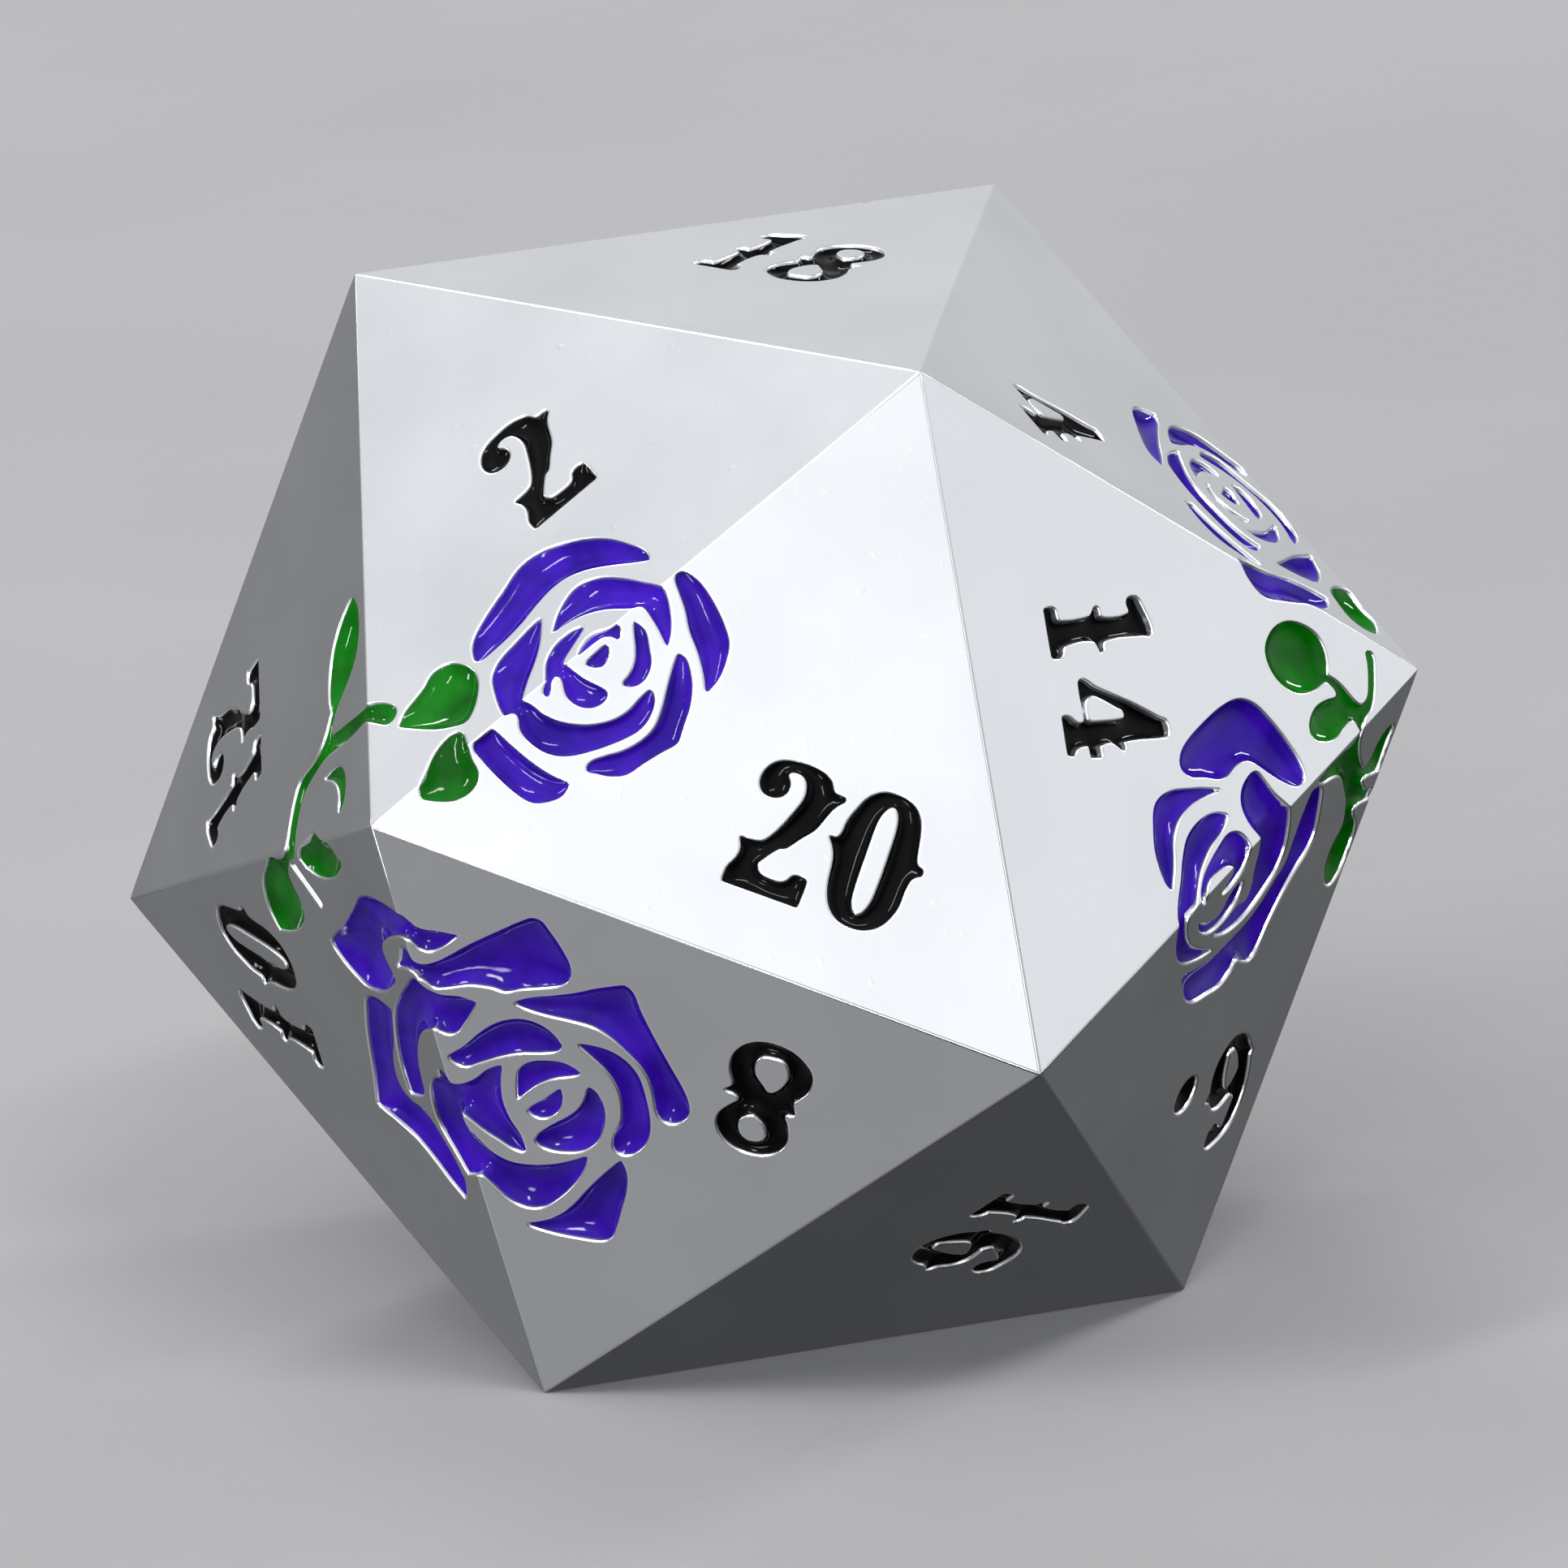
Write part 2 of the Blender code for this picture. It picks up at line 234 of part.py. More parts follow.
CORNERS = die_corners()
FACES = {
    20: "cba", 2: "cad", 18: "dae", 4: "afe", 14: "abf", 8: "bcg", 16: "bgh", 6: "fbh",
    10: "gci", 12: "cdi", 11: "fke", 9: "hkf", 1: "mjk", 7: "ijm", 19: "hmk", 3: "gmh",
    17: "mgi", 13: "jek", 5: "jde", 15: "jid",
}


def face_normal(number):
    a, b, c = (CORNERS[name] for name in FACES[number])
    return (b - a).cross(c - a).normalized()


def frame(origin, along, normal):
    """Matrix whose x runs along, whose z is the normal and whose origin is a corner."""
    z = normal.normalized()
    x = (along - along.dot(z) * z).normalized()
    y = z.cross(x)
    out = Matrix((x, y, z)).transposed().to_4x4()
    out.translation = origin
    return out


def face_frame(order):
    a, b, c = (CORNERS[name] for name in order)
    return frame(a, b - a, (b - a).cross(c - a))


def edge_frame(p, q):
    a, b = CORNERS[p], CORNERS[q]
    return frame(a, b - a, (a + b) / 2 - CENTRE)


def corner_frame(p, q):
    a, b = CORNERS[p], CORNERS[q]
    return frame(a, b - a, a - CENTRE)


def half_turn():
    """Turn of 180 degrees about the middle of edge ef: it carries the artwork to the back."""
    axis = ((CORNERS["e"] + CORNERS["f"]) / 2 - CENTRE).normalized()
    turn = Matrix.Rotation(math.pi, 4, axis)
    return Matrix.Translation(CENTRE) @ turn @ Matrix.Translation(-CENTRE)


# ---- outlines ----
def outline(text):
    """Corner list in millimetres from "x,y" pairs in percent of the edge."""
    points = []
    for word in text.split():
        x, y = word.rstrip("!").split(",")
        points.append(Vector((float(x), float(y))) * PERCENT)
    return points


def thin(points, tolerance):
    """Drops the points that lie within the tolerance of the line through their neighbours."""
    def split(first, last):
        a, b = ring_points[first], ring_points[last]
        line = b - a
        worst, where = 0.0, None
        for k in range(first + 1, last):
            off = ring_points[k] - a
            length = line.length
            gap = abs(line.x * off.y - line.y * off.x) / length if length > 0 else off.length
            if gap > worst:
                worst, where = gap, k
        if where is None or worst < tolerance:
            return [first]
        return split(first, where) + split(where, last)

    far = max(range(len(points)), key=lambda k: (points[k] - points[0]).length)
    ring_points = points + [points[0]]
    keep = split(0, far) + split(far, len(points))
    return [ring_points[k] for k in keep]


def area(points):
    total = 0.0
    for k, p in enumerate(points):
        q = points[(k + 1) % len(points)]
        total += p.x * q.y - q.x * p.y
    return total / 2


def shrink(points, gap, hole=False):
    """Moves every side of an outline inwards by the gap; the sides of a hole go outwards."""
    sign = 1 if area(points) > 0 else -1
    if hole:
        sign = -sign
    out = []
    for k, p in enumerate(points):
        before = (p - points[k - 1]).normalized()
        after = (points[(k + 1) % len(points)] - p).normalized()
        n1 = Vector((-before.y, before.x))
        n2 = Vector((-after.y, after.x))
        mid = n1 + n2
        if mid.length < 1e-6:
            mid = n1
        mid.normalize()
        reach = min(1 / max(mid.dot(n1), 1e-3), MITER_LIMIT)
        out.append(p + mid * gap * reach * sign)
    return out


def circle(x, y, radius, corners):
    centre = Vector((x, y)) * PERCENT
    out = []
    for k in range(corners):
        angle = 2 * math.pi * k / corners
        out.append(centre + Vector((math.cos(angle), math.sin(angle))) * radius * PERCENT)
    return out


def runner(p, q):
    """Narrow straight strip from one petal to the next."""
    along = (q - p).normalized()
    side = Vector((-along.y, along.x)) * RUNNER_WIDTH / 2
    a = p - along * RUNNER_GRIP
    b = q + along * RUNNER_GRIP
    return [a - side, b - side, b + side, a + side]


def closest(first, second):
    """Closest pair of points between two outlines, measured from corners to sides."""
    best = None
    for one, two, swap in ((first, second, False), (second, first, True)):
        for p in one:
            for k, a in enumerate(two):
                b = two[(k + 1) % len(two)]
                line = b - a
                t = max(0.15, min(0.85, (p - a).dot(line) / line.length_squared))
                q = a + line * t
                d = (p - q).length
                if best is None or d < best[0]:
                    best = (d, q, p) if swap else (d, p, q)
    return best


def runners(petals):
    """The shortest tree of runners that joins all petals of one rose."""
    joined = [0]
    loose = list(range(1, len(petals)))
    out = []
    while loose:
        pick = None
        for k in joined:
            for m in loose:
                d, p, q = closest(petals[k], petals[m])
                if pick is None or d < pick[0]:
                    pick = (d, p, q, m)
        out.append(runner(pick[1], pick[2]))
        joined.append(pick[3])
        loose.remove(pick[3])
    return out


# ---- solids ----
def collection(name):
    made = bpy.data.collections.new(name)
    bpy.context.scene.collection.children.link(made)
    return made


def baked(source, name):
    """Plain mesh object from the evaluated form of another object, which is removed."""
    graph = bpy.context.evaluated_depsgraph_get()
    graph.update()
    mesh = bpy.data.meshes.new_from_object(source.evaluated_get(graph))
    work = bmesh.new()
    work.from_mesh(mesh)
    bmesh.ops.remove_doubles(work, verts=work.verts, dist=0.0001)
    work.to_mesh(mesh)
    work.free()
    out = bpy.data.objects.new(name, mesh)
    out.matrix_world = source.matrix_world.copy()
    bpy.context.scene.collection.objects.link(out)
    bpy.data.objects.remove(source)
    return out


def prism(loops, place, name):
    """Extruded flat curve: outlines filled on both sides, long enough to pass the surface."""
    curve = bpy.data.curves.new(name, "CURVE")
    curve.dimensions = "2D"
    curve.fill_mode = "BOTH"
    curve.extrude = ACROSS_FACES / 5
    for points in loops:
        spline = curve.splines.new("POLY")
        spline.points.add(len(points) - 1)
        for point, corner in zip(points, spline.points):
            corner.co = (point.x, point.y, 0, 1)
        spline.use_cyclic_u = True
    source = bpy.data.objects.new(name, curve)
    source.matrix_world = place
    bpy.context.scene.collection.objects.link(source)
    return baked(source, name)


def boolean(target, tool, operation):
    """Applies one exact boolean and removes the tool."""
    step = target.modifiers.new(operation.lower(), "BOOLEAN")
    step.operation = operation
    step.solver = "EXACT"
    step.object = tool
    name = target.name
    out = baked(target, name + "_cut")
    bpy.data.objects.remove(tool)
    out.name = name
    return out


def icosahedron(inset, name):
    """Icosahedron primitive turned to rest on face 3, each face moved inwards by the inset."""
    radius = EDGE * math.sqrt(GOLDEN * math.sqrt(5)) / 2
    bpy.ops.mesh.primitive_ico_sphere_add(subdivisions=1, radius=radius)
    solid = bpy.context.active_object
    solid.name = name
    a, b, c = (solid.data.vertices[k].co.copy() for k in solid.data.polygons[0].vertices)
    origin = frame(Vector(), b - a, (b - a).cross(c - a))
    p, q, r = (CORNERS[name] - CENTRE for name in "gmh")
    target = frame(Vector(), q - p, (q - p).cross(r - p))
    turn = target @ origin.inverted()
    size = Matrix.Scale((INRADIUS - inset) / INRADIUS, 4)
    solid.data.transform(Matrix.Translation(CENTRE) @ size @ turn)
    return solid


def rounded_body():
    solid = icosahedron(0, "die_body")
    bevel = solid.modifiers.new("edges", "BEVEL")
    bevel.width = EDGE_BEVEL
    bevel.segments = BEVEL_STEPS
    bevel.limit_method = "NONE"
    return baked(solid, "die_body_round")


def joined_prism(groups, place, name):
    """One solid from overlapping flat outlines."""
    out = prism(groups[0], place, name)
    for loops in groups[1:]:
        out = boolean(out, prism(loops, place, name + "_add"), "UNION")
    return out


def enamel(groups, place, name):
    """Enamel filling: the outline between the pocket floor and just below the face."""
    filling = joined_prism(groups, place, name)
    filling = boolean(filling, icosahedron(ENAMEL_RECESS, "lid"), "INTERSECT")
    return boolean(filling, icosahedron(POCKET_DEPTH - FIT_GAP, "core"), "DIFFERENCE")


def pocket(groups, place, name):
    """Cutter for one recess, open at the face and flat at the pocket depth."""
    cutter = joined_prism(groups, place, name + "_cutter")
    return boolean(cutter, icosahedron(POCKET_DEPTH, "core"), "DIFFERENCE")


def material(name, look):
    kind, colour, metallic, roughness = look
    made = bpy.data.materials.new(name + "_" + kind)
    made.use_nodes = True
    shader = made.node_tree.nodes["Principled BSDF"]
    shader.inputs["Base Color"].default_value = colour
    shader.inputs["Metallic"].default_value = metallic
    shader.inputs["Roughness"].default_value = roughness
    made.diffuse_color = colour
    return made


def finish(solid, name, look, parts):
    """Scales a solid to metres, names it, colours it and files it."""
    solid.data.transform(Matrix.Scale(METRE, 4) @ solid.matrix_world)
    solid.matrix_world = Matrix.Identity(4)
    solid.name = name
    solid.data.name = name
    solid.data.materials.clear()
    solid.data.materials.append(material(name, look))
    for home in list(solid.users_collection):
        home.objects.unlink(solid)
    parts.objects.link(solid)


# ---- numerals ----
def digit_loops(character, left, foot):
    """Outer outline and holes of one digit; the 9 is the 6 turned half round."""
    shift = Vector((left, foot)) * PERCENT
    shape = [thin(outline(text), OUTLINE_TOLERANCE) for text in GLYPHS[character.replace("9", "6")]]
    if character == "9":
        size = Vector((13.0, 19.6)) * PERCENT
        shape = [[size - p for p in points] for points in shape]
    return [[p + shift for p in points] for points in shape]


def digit_width(character):
    text = GLYPHS[character.replace("9", "6")][0]
    return max(p.x for p in outline(text)) / PERCENT


def numeral_place(order, turn_centre=None, angle=0.0):
    place = face_frame(order)
    if turn_centre:
        x, y = (v * PERCENT for v in turn_centre)
        place = place @ Matrix.Translation((x, y, 0)) @ Matrix.Rotation(math.radians(angle), 4, "Z")
    return place


def opposite_number(number, turn):
    """The number of the face that the half turn carries this face to."""
    normal = turn.to_3x3() @ face_normal(number)
    return max(FACES, key=lambda other: normal.dot(face_normal(other)))


def numeral_groups():
    """Every digit and dot of all twenty numerals as (name, loops, place)."""
    out = []
    turn = half_turn()
    for number, (order, lefts, foot, centre, angle) in NUMERALS.items():
        place = numeral_place(order, centre, angle)
        spot_centre = (lefts[0] + lefts[-1] + digit_width(str(number)[-1])) / 2
        other = opposite_number(number, turn)
        text = str(other)
        total = sum(digit_width(c) for c in text) + DIGIT_GAP * (len(text) - 1)
        back_lefts = [spot_centre - total / 2]
        if len(text) == 2:
            back_lefts.append(back_lefts[0] + digit_width(text[0]) + DIGIT_GAP)
        for value, xs, where in ((number, lefts, place), (other, back_lefts, turn @ place)):
            for letter, character, x in zip("ab", str(value), xs):
                loops = digit_loops(character, x, foot)
                out.append((f"digit_{value}_{letter}", loops, where))
            if value in (6, 9):
                x = xs[-1] + digit_width("6") + DOT_RADIUS + DIGIT_GAP
                dot = circle(x, foot + DOT_RADIUS / 3, DOT_RADIUS, DOT_CORNERS)
                out.append((f"dot_{value}", [dot], where))
    return out


# ---- roses, leaves and vines ----
def motif_groups():
    """Every rose, leaf and vine, front and back, as (name, loops, place, look)."""
    out = []
    turn = half_turn()
    roses = (
        ("rose_a", ROSE_A, edge_frame("c", "a")),
        ("rose_b", ROSE_B, edge_frame("c", "g")),
        ("rose_c", ROSE_C, edge_frame("f", "b")),
        ("rose_d", ROSE_D, face_frame("afe")),
    )
    for name, petals, place in roses:
        loops = [thin(outline(text), OUTLINE_TOLERANCE) for text in petals.values()]
        out.append((name, loops, place, PURPLE))
    greens = (
        (LEAVES_A, edge_frame("c", "a")),
        (VINE_C, corner_frame("c", "a")),
        (VINE_F, corner_frame("f", "b")),
        (LEAF_D, face_frame("afe")),
    )
    for shapes, place in greens:
        for name, text in shapes.items():
            out.append((name, [thin(outline(text), OUTLINE_TOLERANCE)], place, GREEN))
    back = [(name + "_back", loops, turn @ place, look) for name, loops, place, look in out]
    front = [(name + "_front", loops, place, look) for name, loops, place, look in out]
    return front + back


def shrunk_groups(groups, gap, holes):
    """Each group of loops made smaller by the gap; the first loop of a group is solid."""
    out = []
    for loops in groups:
        first, rest = loops[0], loops[1:]
        out.append([shrink(first, gap)] + [shrink(p, gap, hole=holes) for p in rest])
    return out


def build():
    for old in list(bpy.data.objects):
        bpy.data.objects.remove(old)
    parts = collection("enamelled_d20_die")
    body = rounded_body()
    for name, loops, place in numeral_groups():
        body = boolean(body, pocket([loops], place, name), "DIFFERENCE")
        solid = enamel(shrunk_groups([loops], FIT_GAP, True), place, name)
        finish(solid, name, BLACK, parts)
    for name, petals, place, look in motif_groups():
        groups = [[petal] for petal in petals] + [[strip] for strip in runners(petals)]
        body = boolean(body, pocket(groups, place, name), "DIFFERENCE")
        solid = enamel(shrunk_groups(groups, FIT_GAP, False), place, name)
        finish(solid, name, look, parts)
    finish(body, "die_body", METAL, parts)


build()
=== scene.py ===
"""Looks of the enamelled twenty-sided die. The metal body is one rounded icosahedron whose
recesses have soft rims and steep walls; every pool of enamel is a closed solid that climbs
a little where it meets the metal and sags in the middle. Lengths are in percent of the edge
until mesh_piece turns them into metres."""
import math

import bpy
import bmesh
import numpy as np
from mathutils import Matrix, Vector
from mathutils.geometry import delaunay_2d_cdt

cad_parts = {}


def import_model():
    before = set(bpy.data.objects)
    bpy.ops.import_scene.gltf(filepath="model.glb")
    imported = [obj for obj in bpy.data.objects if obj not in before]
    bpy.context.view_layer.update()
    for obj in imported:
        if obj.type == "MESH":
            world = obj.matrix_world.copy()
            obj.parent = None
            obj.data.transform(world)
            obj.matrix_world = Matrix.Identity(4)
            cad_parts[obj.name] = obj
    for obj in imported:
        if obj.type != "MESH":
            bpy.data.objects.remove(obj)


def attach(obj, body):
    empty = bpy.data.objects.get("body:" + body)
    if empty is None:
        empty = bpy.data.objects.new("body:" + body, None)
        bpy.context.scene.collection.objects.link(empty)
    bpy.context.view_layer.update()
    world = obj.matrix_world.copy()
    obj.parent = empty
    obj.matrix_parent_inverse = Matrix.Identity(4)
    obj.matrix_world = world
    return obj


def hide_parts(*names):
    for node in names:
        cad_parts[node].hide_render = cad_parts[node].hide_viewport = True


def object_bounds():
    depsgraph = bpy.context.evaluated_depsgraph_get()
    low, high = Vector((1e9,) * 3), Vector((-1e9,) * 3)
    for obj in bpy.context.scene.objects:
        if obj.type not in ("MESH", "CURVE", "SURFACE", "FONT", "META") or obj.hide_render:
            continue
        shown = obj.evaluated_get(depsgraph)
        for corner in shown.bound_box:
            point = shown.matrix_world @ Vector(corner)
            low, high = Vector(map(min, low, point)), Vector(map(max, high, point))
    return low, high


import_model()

CAD_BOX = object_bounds()

# ---- driving dimensions ----
ACROSS_FACES = CAD_BOX[1].z - CAD_BOX[0].z
GOLDEN = (1 + math.sqrt(5)) / 2
EDGE = ACROSS_FACES * math.sqrt(3) / GOLDEN ** 2
PERCENT = EDGE / 100                       # one percent of the edge in metres
HALF_ACROSS = ACROSS_FACES / PERCENT / 2   # distance from the middle to a face, in percent
MILLIMETRE = 0.001 / PERCENT               # one millimetre in percent

# metal
EDGE_RADIUS = 0.14 * MILLIMETRE    # rounding of the edges of the die
TILT = math.radians(20.9)          # half of what an edge turns through
RIM_RADIUS = 0.34                  # rounding of the rim of a recess
POCKET_DEPTH = 0.8 * MILLIMETRE
WALL_DRAFT = 0.60                  # how far a wall leans in from rim to floor
GROOVE_DEPTH = 0.85                # depth of a groove that holds no enamel
OUTLINE_STEP = 0.42                # spacing of the points along an outline
DIGIT_STEP = 0.30
GUARD = 0.18                       # flat strip kept beside every rounding
WIDE_REACH = 1.6                   # points farther than this from a recess are plain face
SLIVER = 1e-4                      # points this close to a line lie on it
GRAIN = 1e-5                       # points this close to each other are one point
WELD = 2e-4                        # faces of the body are joined across this gap
EDGE_PARTS = 40                    # even stretches along each edge of the die
BEVEL_PARTS = (0.33, 0.66, 1.0, 1.35)   # lines beside an edge, in widths of its rounding
BODY_RINGS = (                     # lines round a recess, at these distances from its outline
    RIM_RADIUS + GUARD, RIM_RADIUS, RIM_RADIUS * 0.62, RIM_RADIUS * 0.3, RIM_RADIUS * 0.08,
    0.0, -WALL_DRAFT * 0.3, -WALL_DRAFT,
)

# enamel
ENAMEL_OVERLAP = 0.03              # enamel runs this far into the wall, so no gap shows
ENAMEL_FOLD = 5.0                  # rounding of the enamel where it runs over an edge of the die
FLOOR_COVER = 0.1                  # the solid of enamel ends this far above the floor of its recess
ENAMEL_GRID = 0.85                 # spacing of the points on the enamel
GRID_MARGIN = 1.7                  # and how far they keep from the outline
ENAMEL_RINGS = (-0.12, -0.3, -0.55, -0.95, -1.5)
RING_SPACING = (0.32, 0.5)         # of the points on the rings near the outline and on the others
FOLD_SPACING = 0.6                 # of the points along and beside an edge that a pool runs over
FOLD_PARTS = (-1.2, -0.9, -0.6, -0.3, 0.3, 0.6, 0.9, 1.2)   # lines there, in widths of the rounding
FOLD_MARGIN = 0.1                  # and how far they keep from the outline
# depth at the wall, sag of a wide pool, reach of the curved border
PETAL_FILL = (0.48, 2.0, 1.6)
LEAF_FILL = (0.32, 2.0, 1.6)
DIGIT_FILL = (0.42, 1.9, 1.4)
DEEP_FILL = (0.95, 1.7, 1.4)
DEEP_NUMERALS = (14, 7)

# numerals
DIGIT_GAP = 3.0
DOT_RADIUS = 3.0
DOT_POINTS = 48
SIX_BOX = (13.0, 19.6)             # width and height of the 6, which turns into the 9 within them

# ---- artwork ----
# Each outline is a row of "x,y" points in percent of the edge length, measured in the frame of
# the edge, corner or face that carries it; "!" marks a sharp point.
ROSE_A = {
    "outer_top": """26.3,11! 27.2,13.2 28.6,14.6 30.6,15.7 33,16.7 36,17.8 38.8,18.9 41,19.2 43.5,18.8
    46,17.7 49,15.6 51.5,13 53.2,10 54.3,7 54.1,5.1! 52.5,6.3 50,8.5 47,10.8 44,12.2 41,12.5 38,12
    35,11.2 32,10.7 29,10.5 27.2,10.5""",
    "left": """37.3,9.6! 35,9.4 32,8.9 29.5,8.5 27.8,7.8 26.5,6.6 25.5,4.4 24.7,2 24.3,0! 25.4,-0.5
    25.8,-1.2 24.8,-2.8 24.7,-4.5 25.3,-6.8 26.5,-8.5 28.3,-9.8 30.5,-10.8 33,-11.7 35.5,-12.4 37.8,-12.7
    40,-12.2 41.8,-11 42.5,-9.6! 40.5,-9.7 38,-10 35.5,-9.6 33,-8.4 31,-6.8 29.5,-5 28.5,-3 28.1,-1.2
    27.4,0.2! 28.2,0.9 30,2.4 32.5,4.2 34.5,6 36,7.8""",
    "right": """37.1,6.1! 39,7.8 41,9 43.5,9.7 45.5,9.3 47.5,7.9 49.5,5.5 51.3,2.5 52.6,0.3 52.7,-0.6
    52.2,-2 51,-3.9 49.5,-5.6 48,-6.7! 48.6,-4.5 49,-2.2 49,-0.6 47.9,0.2 46.5,1.6 44.8,3.3 42.5,4.8
    40,5.7""",
    "heart": """40.9,3.3! 39.5,4 37.5,4.2 35.5,3.8 33.8,2.8 32.6,1.2 31.6,-0.2 30.4,-1.2 30.8,-1.9!
    31.6,-1.2 32.4,-0.5 33.3,-0.3 33.8,-1 33.3,-2.1 32.8,-3.3 33,-4.8 33.8,-6 35.2,-6.8 36.8,-6.8
    37.5,-6.2! 37,-4.8 36.2,-3.2 35.7,-1.5 35.4,0 35.1,0.6! 36,1.2 37.5,1.8 39.5,2.6""",
    "arch": """37.6,-0.1! 38.5,0.7 40,1.2 41.5,1.1 42.8,0.4 43.8,-0.2 44.8,-0.3! 44.3,-1.2 43.4,-2! 43,-1
    42,-0.4 40,-0.1""",
    "seed": """37.6,-1.6! 39.7,-1.4 41.8,-1.4! 41,-2.5 39.6,-3.2 38.4,-2.7""",
    "crescent": """46.7,-1.4! 47,-3.2 46,-5.1 44.8,-6.9 43.5,-7.8 41.8,-8.1 40.5,-7.6 39.7,-6.7!
    41.5,-6.4 43.3,-5.5 44.7,-4 45.7,-2.6""",
    "outer_low": """28.3,-12.4 29.5,-12 31.5,-12.6 34,-13.6 37,-14.1 39.5,-13.8 42,-12.5 44.5,-10.8
    46.8,-9.3 48.6,-8.3! 48.9,-9.3 48.3,-10.9 47,-12.8 45,-14.6 42.8,-15.9 41.5,-16.7 40.5,-17.2 38,-16.8
    35,-16.4 32.2,-16.1 30.3,-14.9 29,-13.4""",
    "outer_right": """55.7,-0.1 56.7,-0.9 57.2,-3 56.9,-6 56.1,-9 54.9,-11.5 52.7,-13.2 50.5,-14.2
    48.1,-14.6! 49.8,-12 51,-9.5 51.9,-7 53.3,-4.5 54.3,-2 54.9,-0.6""",
    "outer_left": """18.2,-0.6 20,-0.4 21.9,-0.5! 22.3,-3.5 23,-7 24,-10 25.2,-12.3! 23.5,-12.9
    21.5,-12.4 19.5,-11 18.6,-8.5 18.1,-5 18,-2.5""",
}
ROSE_B = {
    "bar": """30.2,28! 31.5,28.8 35,29.1 40,29.9 45,30.9 49,31.7 52,31.8 53.7,31 54.5,29.3 54,27.8
    52.5,27.2 50,27.4 47,27.5 44.5,27 42,25.8 39,24 37,22 35.5,19 34.3,16 33.2,13.8 31.9,12.1! 31.3,14.5
    31.2,18 31,21 30.5,24""",
    "arc": """39.7,19.2! 40.2,21 41.3,23.2 43.2,25 46,26.1 50,26.2 54,25.8 57,24.8 58.8,23.2 59.4,21.5
    58.7,20 57,20 55.2,20.9 53.5,22 51,22.7 48,22.9 45,22.2 42.5,20.9""",
    "drop": """47.2,18.9! 48.5,19.8 51,20.1 53.5,19.6 56,18.4 57.6,16.8 58.3,14.8 58,12 57.2,10.2 56,9.3!
    54.8,10.2 53.5,12.2 52.2,14.8 50.8,16.8 49,18.1""",
    "seed": """47.2,15! 49,14.8 51,13.8 52,12.2 51.9,10.7 50.7,9.5! 49.8,10.6 48.6,12.8""",
    "crescent": """45,18.5! 43.8,17.6 42.8,16.3 42.3,14 42.4,11.8 43.5,10.2 45.5,9.4 47.3,9 48.6,8.7!
    47.2,10.5 46,12.5 45.3,14.8 45.2,16.8""",
    "left": """40,17! 38,16.3 36.2,15 35,13 34.8,11 35.3,8.8 36.8,6.2 38.8,3.6 40.4,0.9! 41.6,1.7 42.3,3
    41.8,5 41,8 40.6,11 40.8,14 40.7,16.2""",
    "low": """42.5,7.9! 45,7.1 48.5,6.5 52,6.8 55,7.6 57.8,7.7! 57.2,6.2 55.5,4.6 53.5,2.8 51.5,1.4
    50.2,0.4! 52.5,0.5 55,1.6 57.5,3 59.3,5 60.1,7.5 60.3,10.5 60,13 59.2,15.9! 61.5,14.8 64,12.8
    66.2,10.2 67.5,7.8 67.3,5.4 65.8,3.4 63.5,2 61.2,0.7! 61.5,-0.8 62.5,-3! 59.5,-4.7 56,-6.6 52.5,-7
    49,-6.2 46.4,-4.4 45.2,-2.4 43.2,-2! 43.8,-0.5 45.2,0.3 45.3,2 44.5,4 43.2,5.8""",
    "outer_right": """60.3,20.3! 62.5,20.5 65.5,19.8 69,18.2 72,16.8 73.7,15.7 74,14.3 73.3,11.5 72.2,8.3
    71,5.8 70.2,4.7! 70,7 69.2,9.5 67.5,12 65,14.6 62.5,17.5""",
    "outer_left": """17.6,18! 18.2,19.2 20,19.9 23,20.8 26,21.3 28,21 29.3,19.8 29.6,17 29.6,14 29.9,11.5
    28.9,9.5 28.3,7 28.5,4 28.4,2 27,0.8 25.8,-1.5 27,-5.3! 25,-3.6 22,-1.8 22.2,-0.6 23.8,0.2 24.4,2
    23.3,5 21.5,8.5 20,12 18.5,15.5""",
    "band_a": """19.8,7.4! 21.2,5.4 22.1,3.1 21.5,1.5 20,0.6 19.8,-1.2 20.8,-3.5 22.5,-6 24.5,-7.8
    26.5,-7.9 28.5,-7.2 30.3,-7 31.8,-8.4 33.8,-10.8 35,-13.5 35.3,-16.5 34.2,-19.6 32.3,-22 30.4,-22.6!
    28.3,-20.5 26,-18 23,-15.2 20,-12.6 17.3,-10.2 15.6,-6.7 15.2,-3 15.5,0.2 16.8,1.2 18.2,2.4 18.8,4.5""",
    "band_b": """31.5,7.1! 33,6 34.8,4.6 36.5,3 36.3,1.3 35.4,0.2 36.2,-1.5 37.5,-3.5 39.8,-5.4 42.5,-6.8
    45.5,-7.8 48.5,-8.2 50.5,-8.4 51.9,-9.8 52.9,-12.8! 49.5,-13 45.5,-12.6 41,-11.4 37,-9.8 33.5,-7.4
    30.2,-4.4 27.8,-2 27.2,-0.4 28.5,0.7 29.8,2.5 30.3,5""",
    "outer_low": """37.1,-10.9! 40.5,-12 44,-13.3 48,-15 51,-15.5 53.2,-14.8 54.3,-13 54.5,-10.5 56,-8.6
    58.5,-6.9 61,-5.5 64,-4.3! 66,-4.8 68.4,-5.9! 66.5,-9 64,-12 62,-15 60.8,-19 60,-23.9! 57.5,-23.2
    53,-21.9 49,-21 45,-20 41,-18.6 38.1,-17.2 36.8,-14.2""",
}
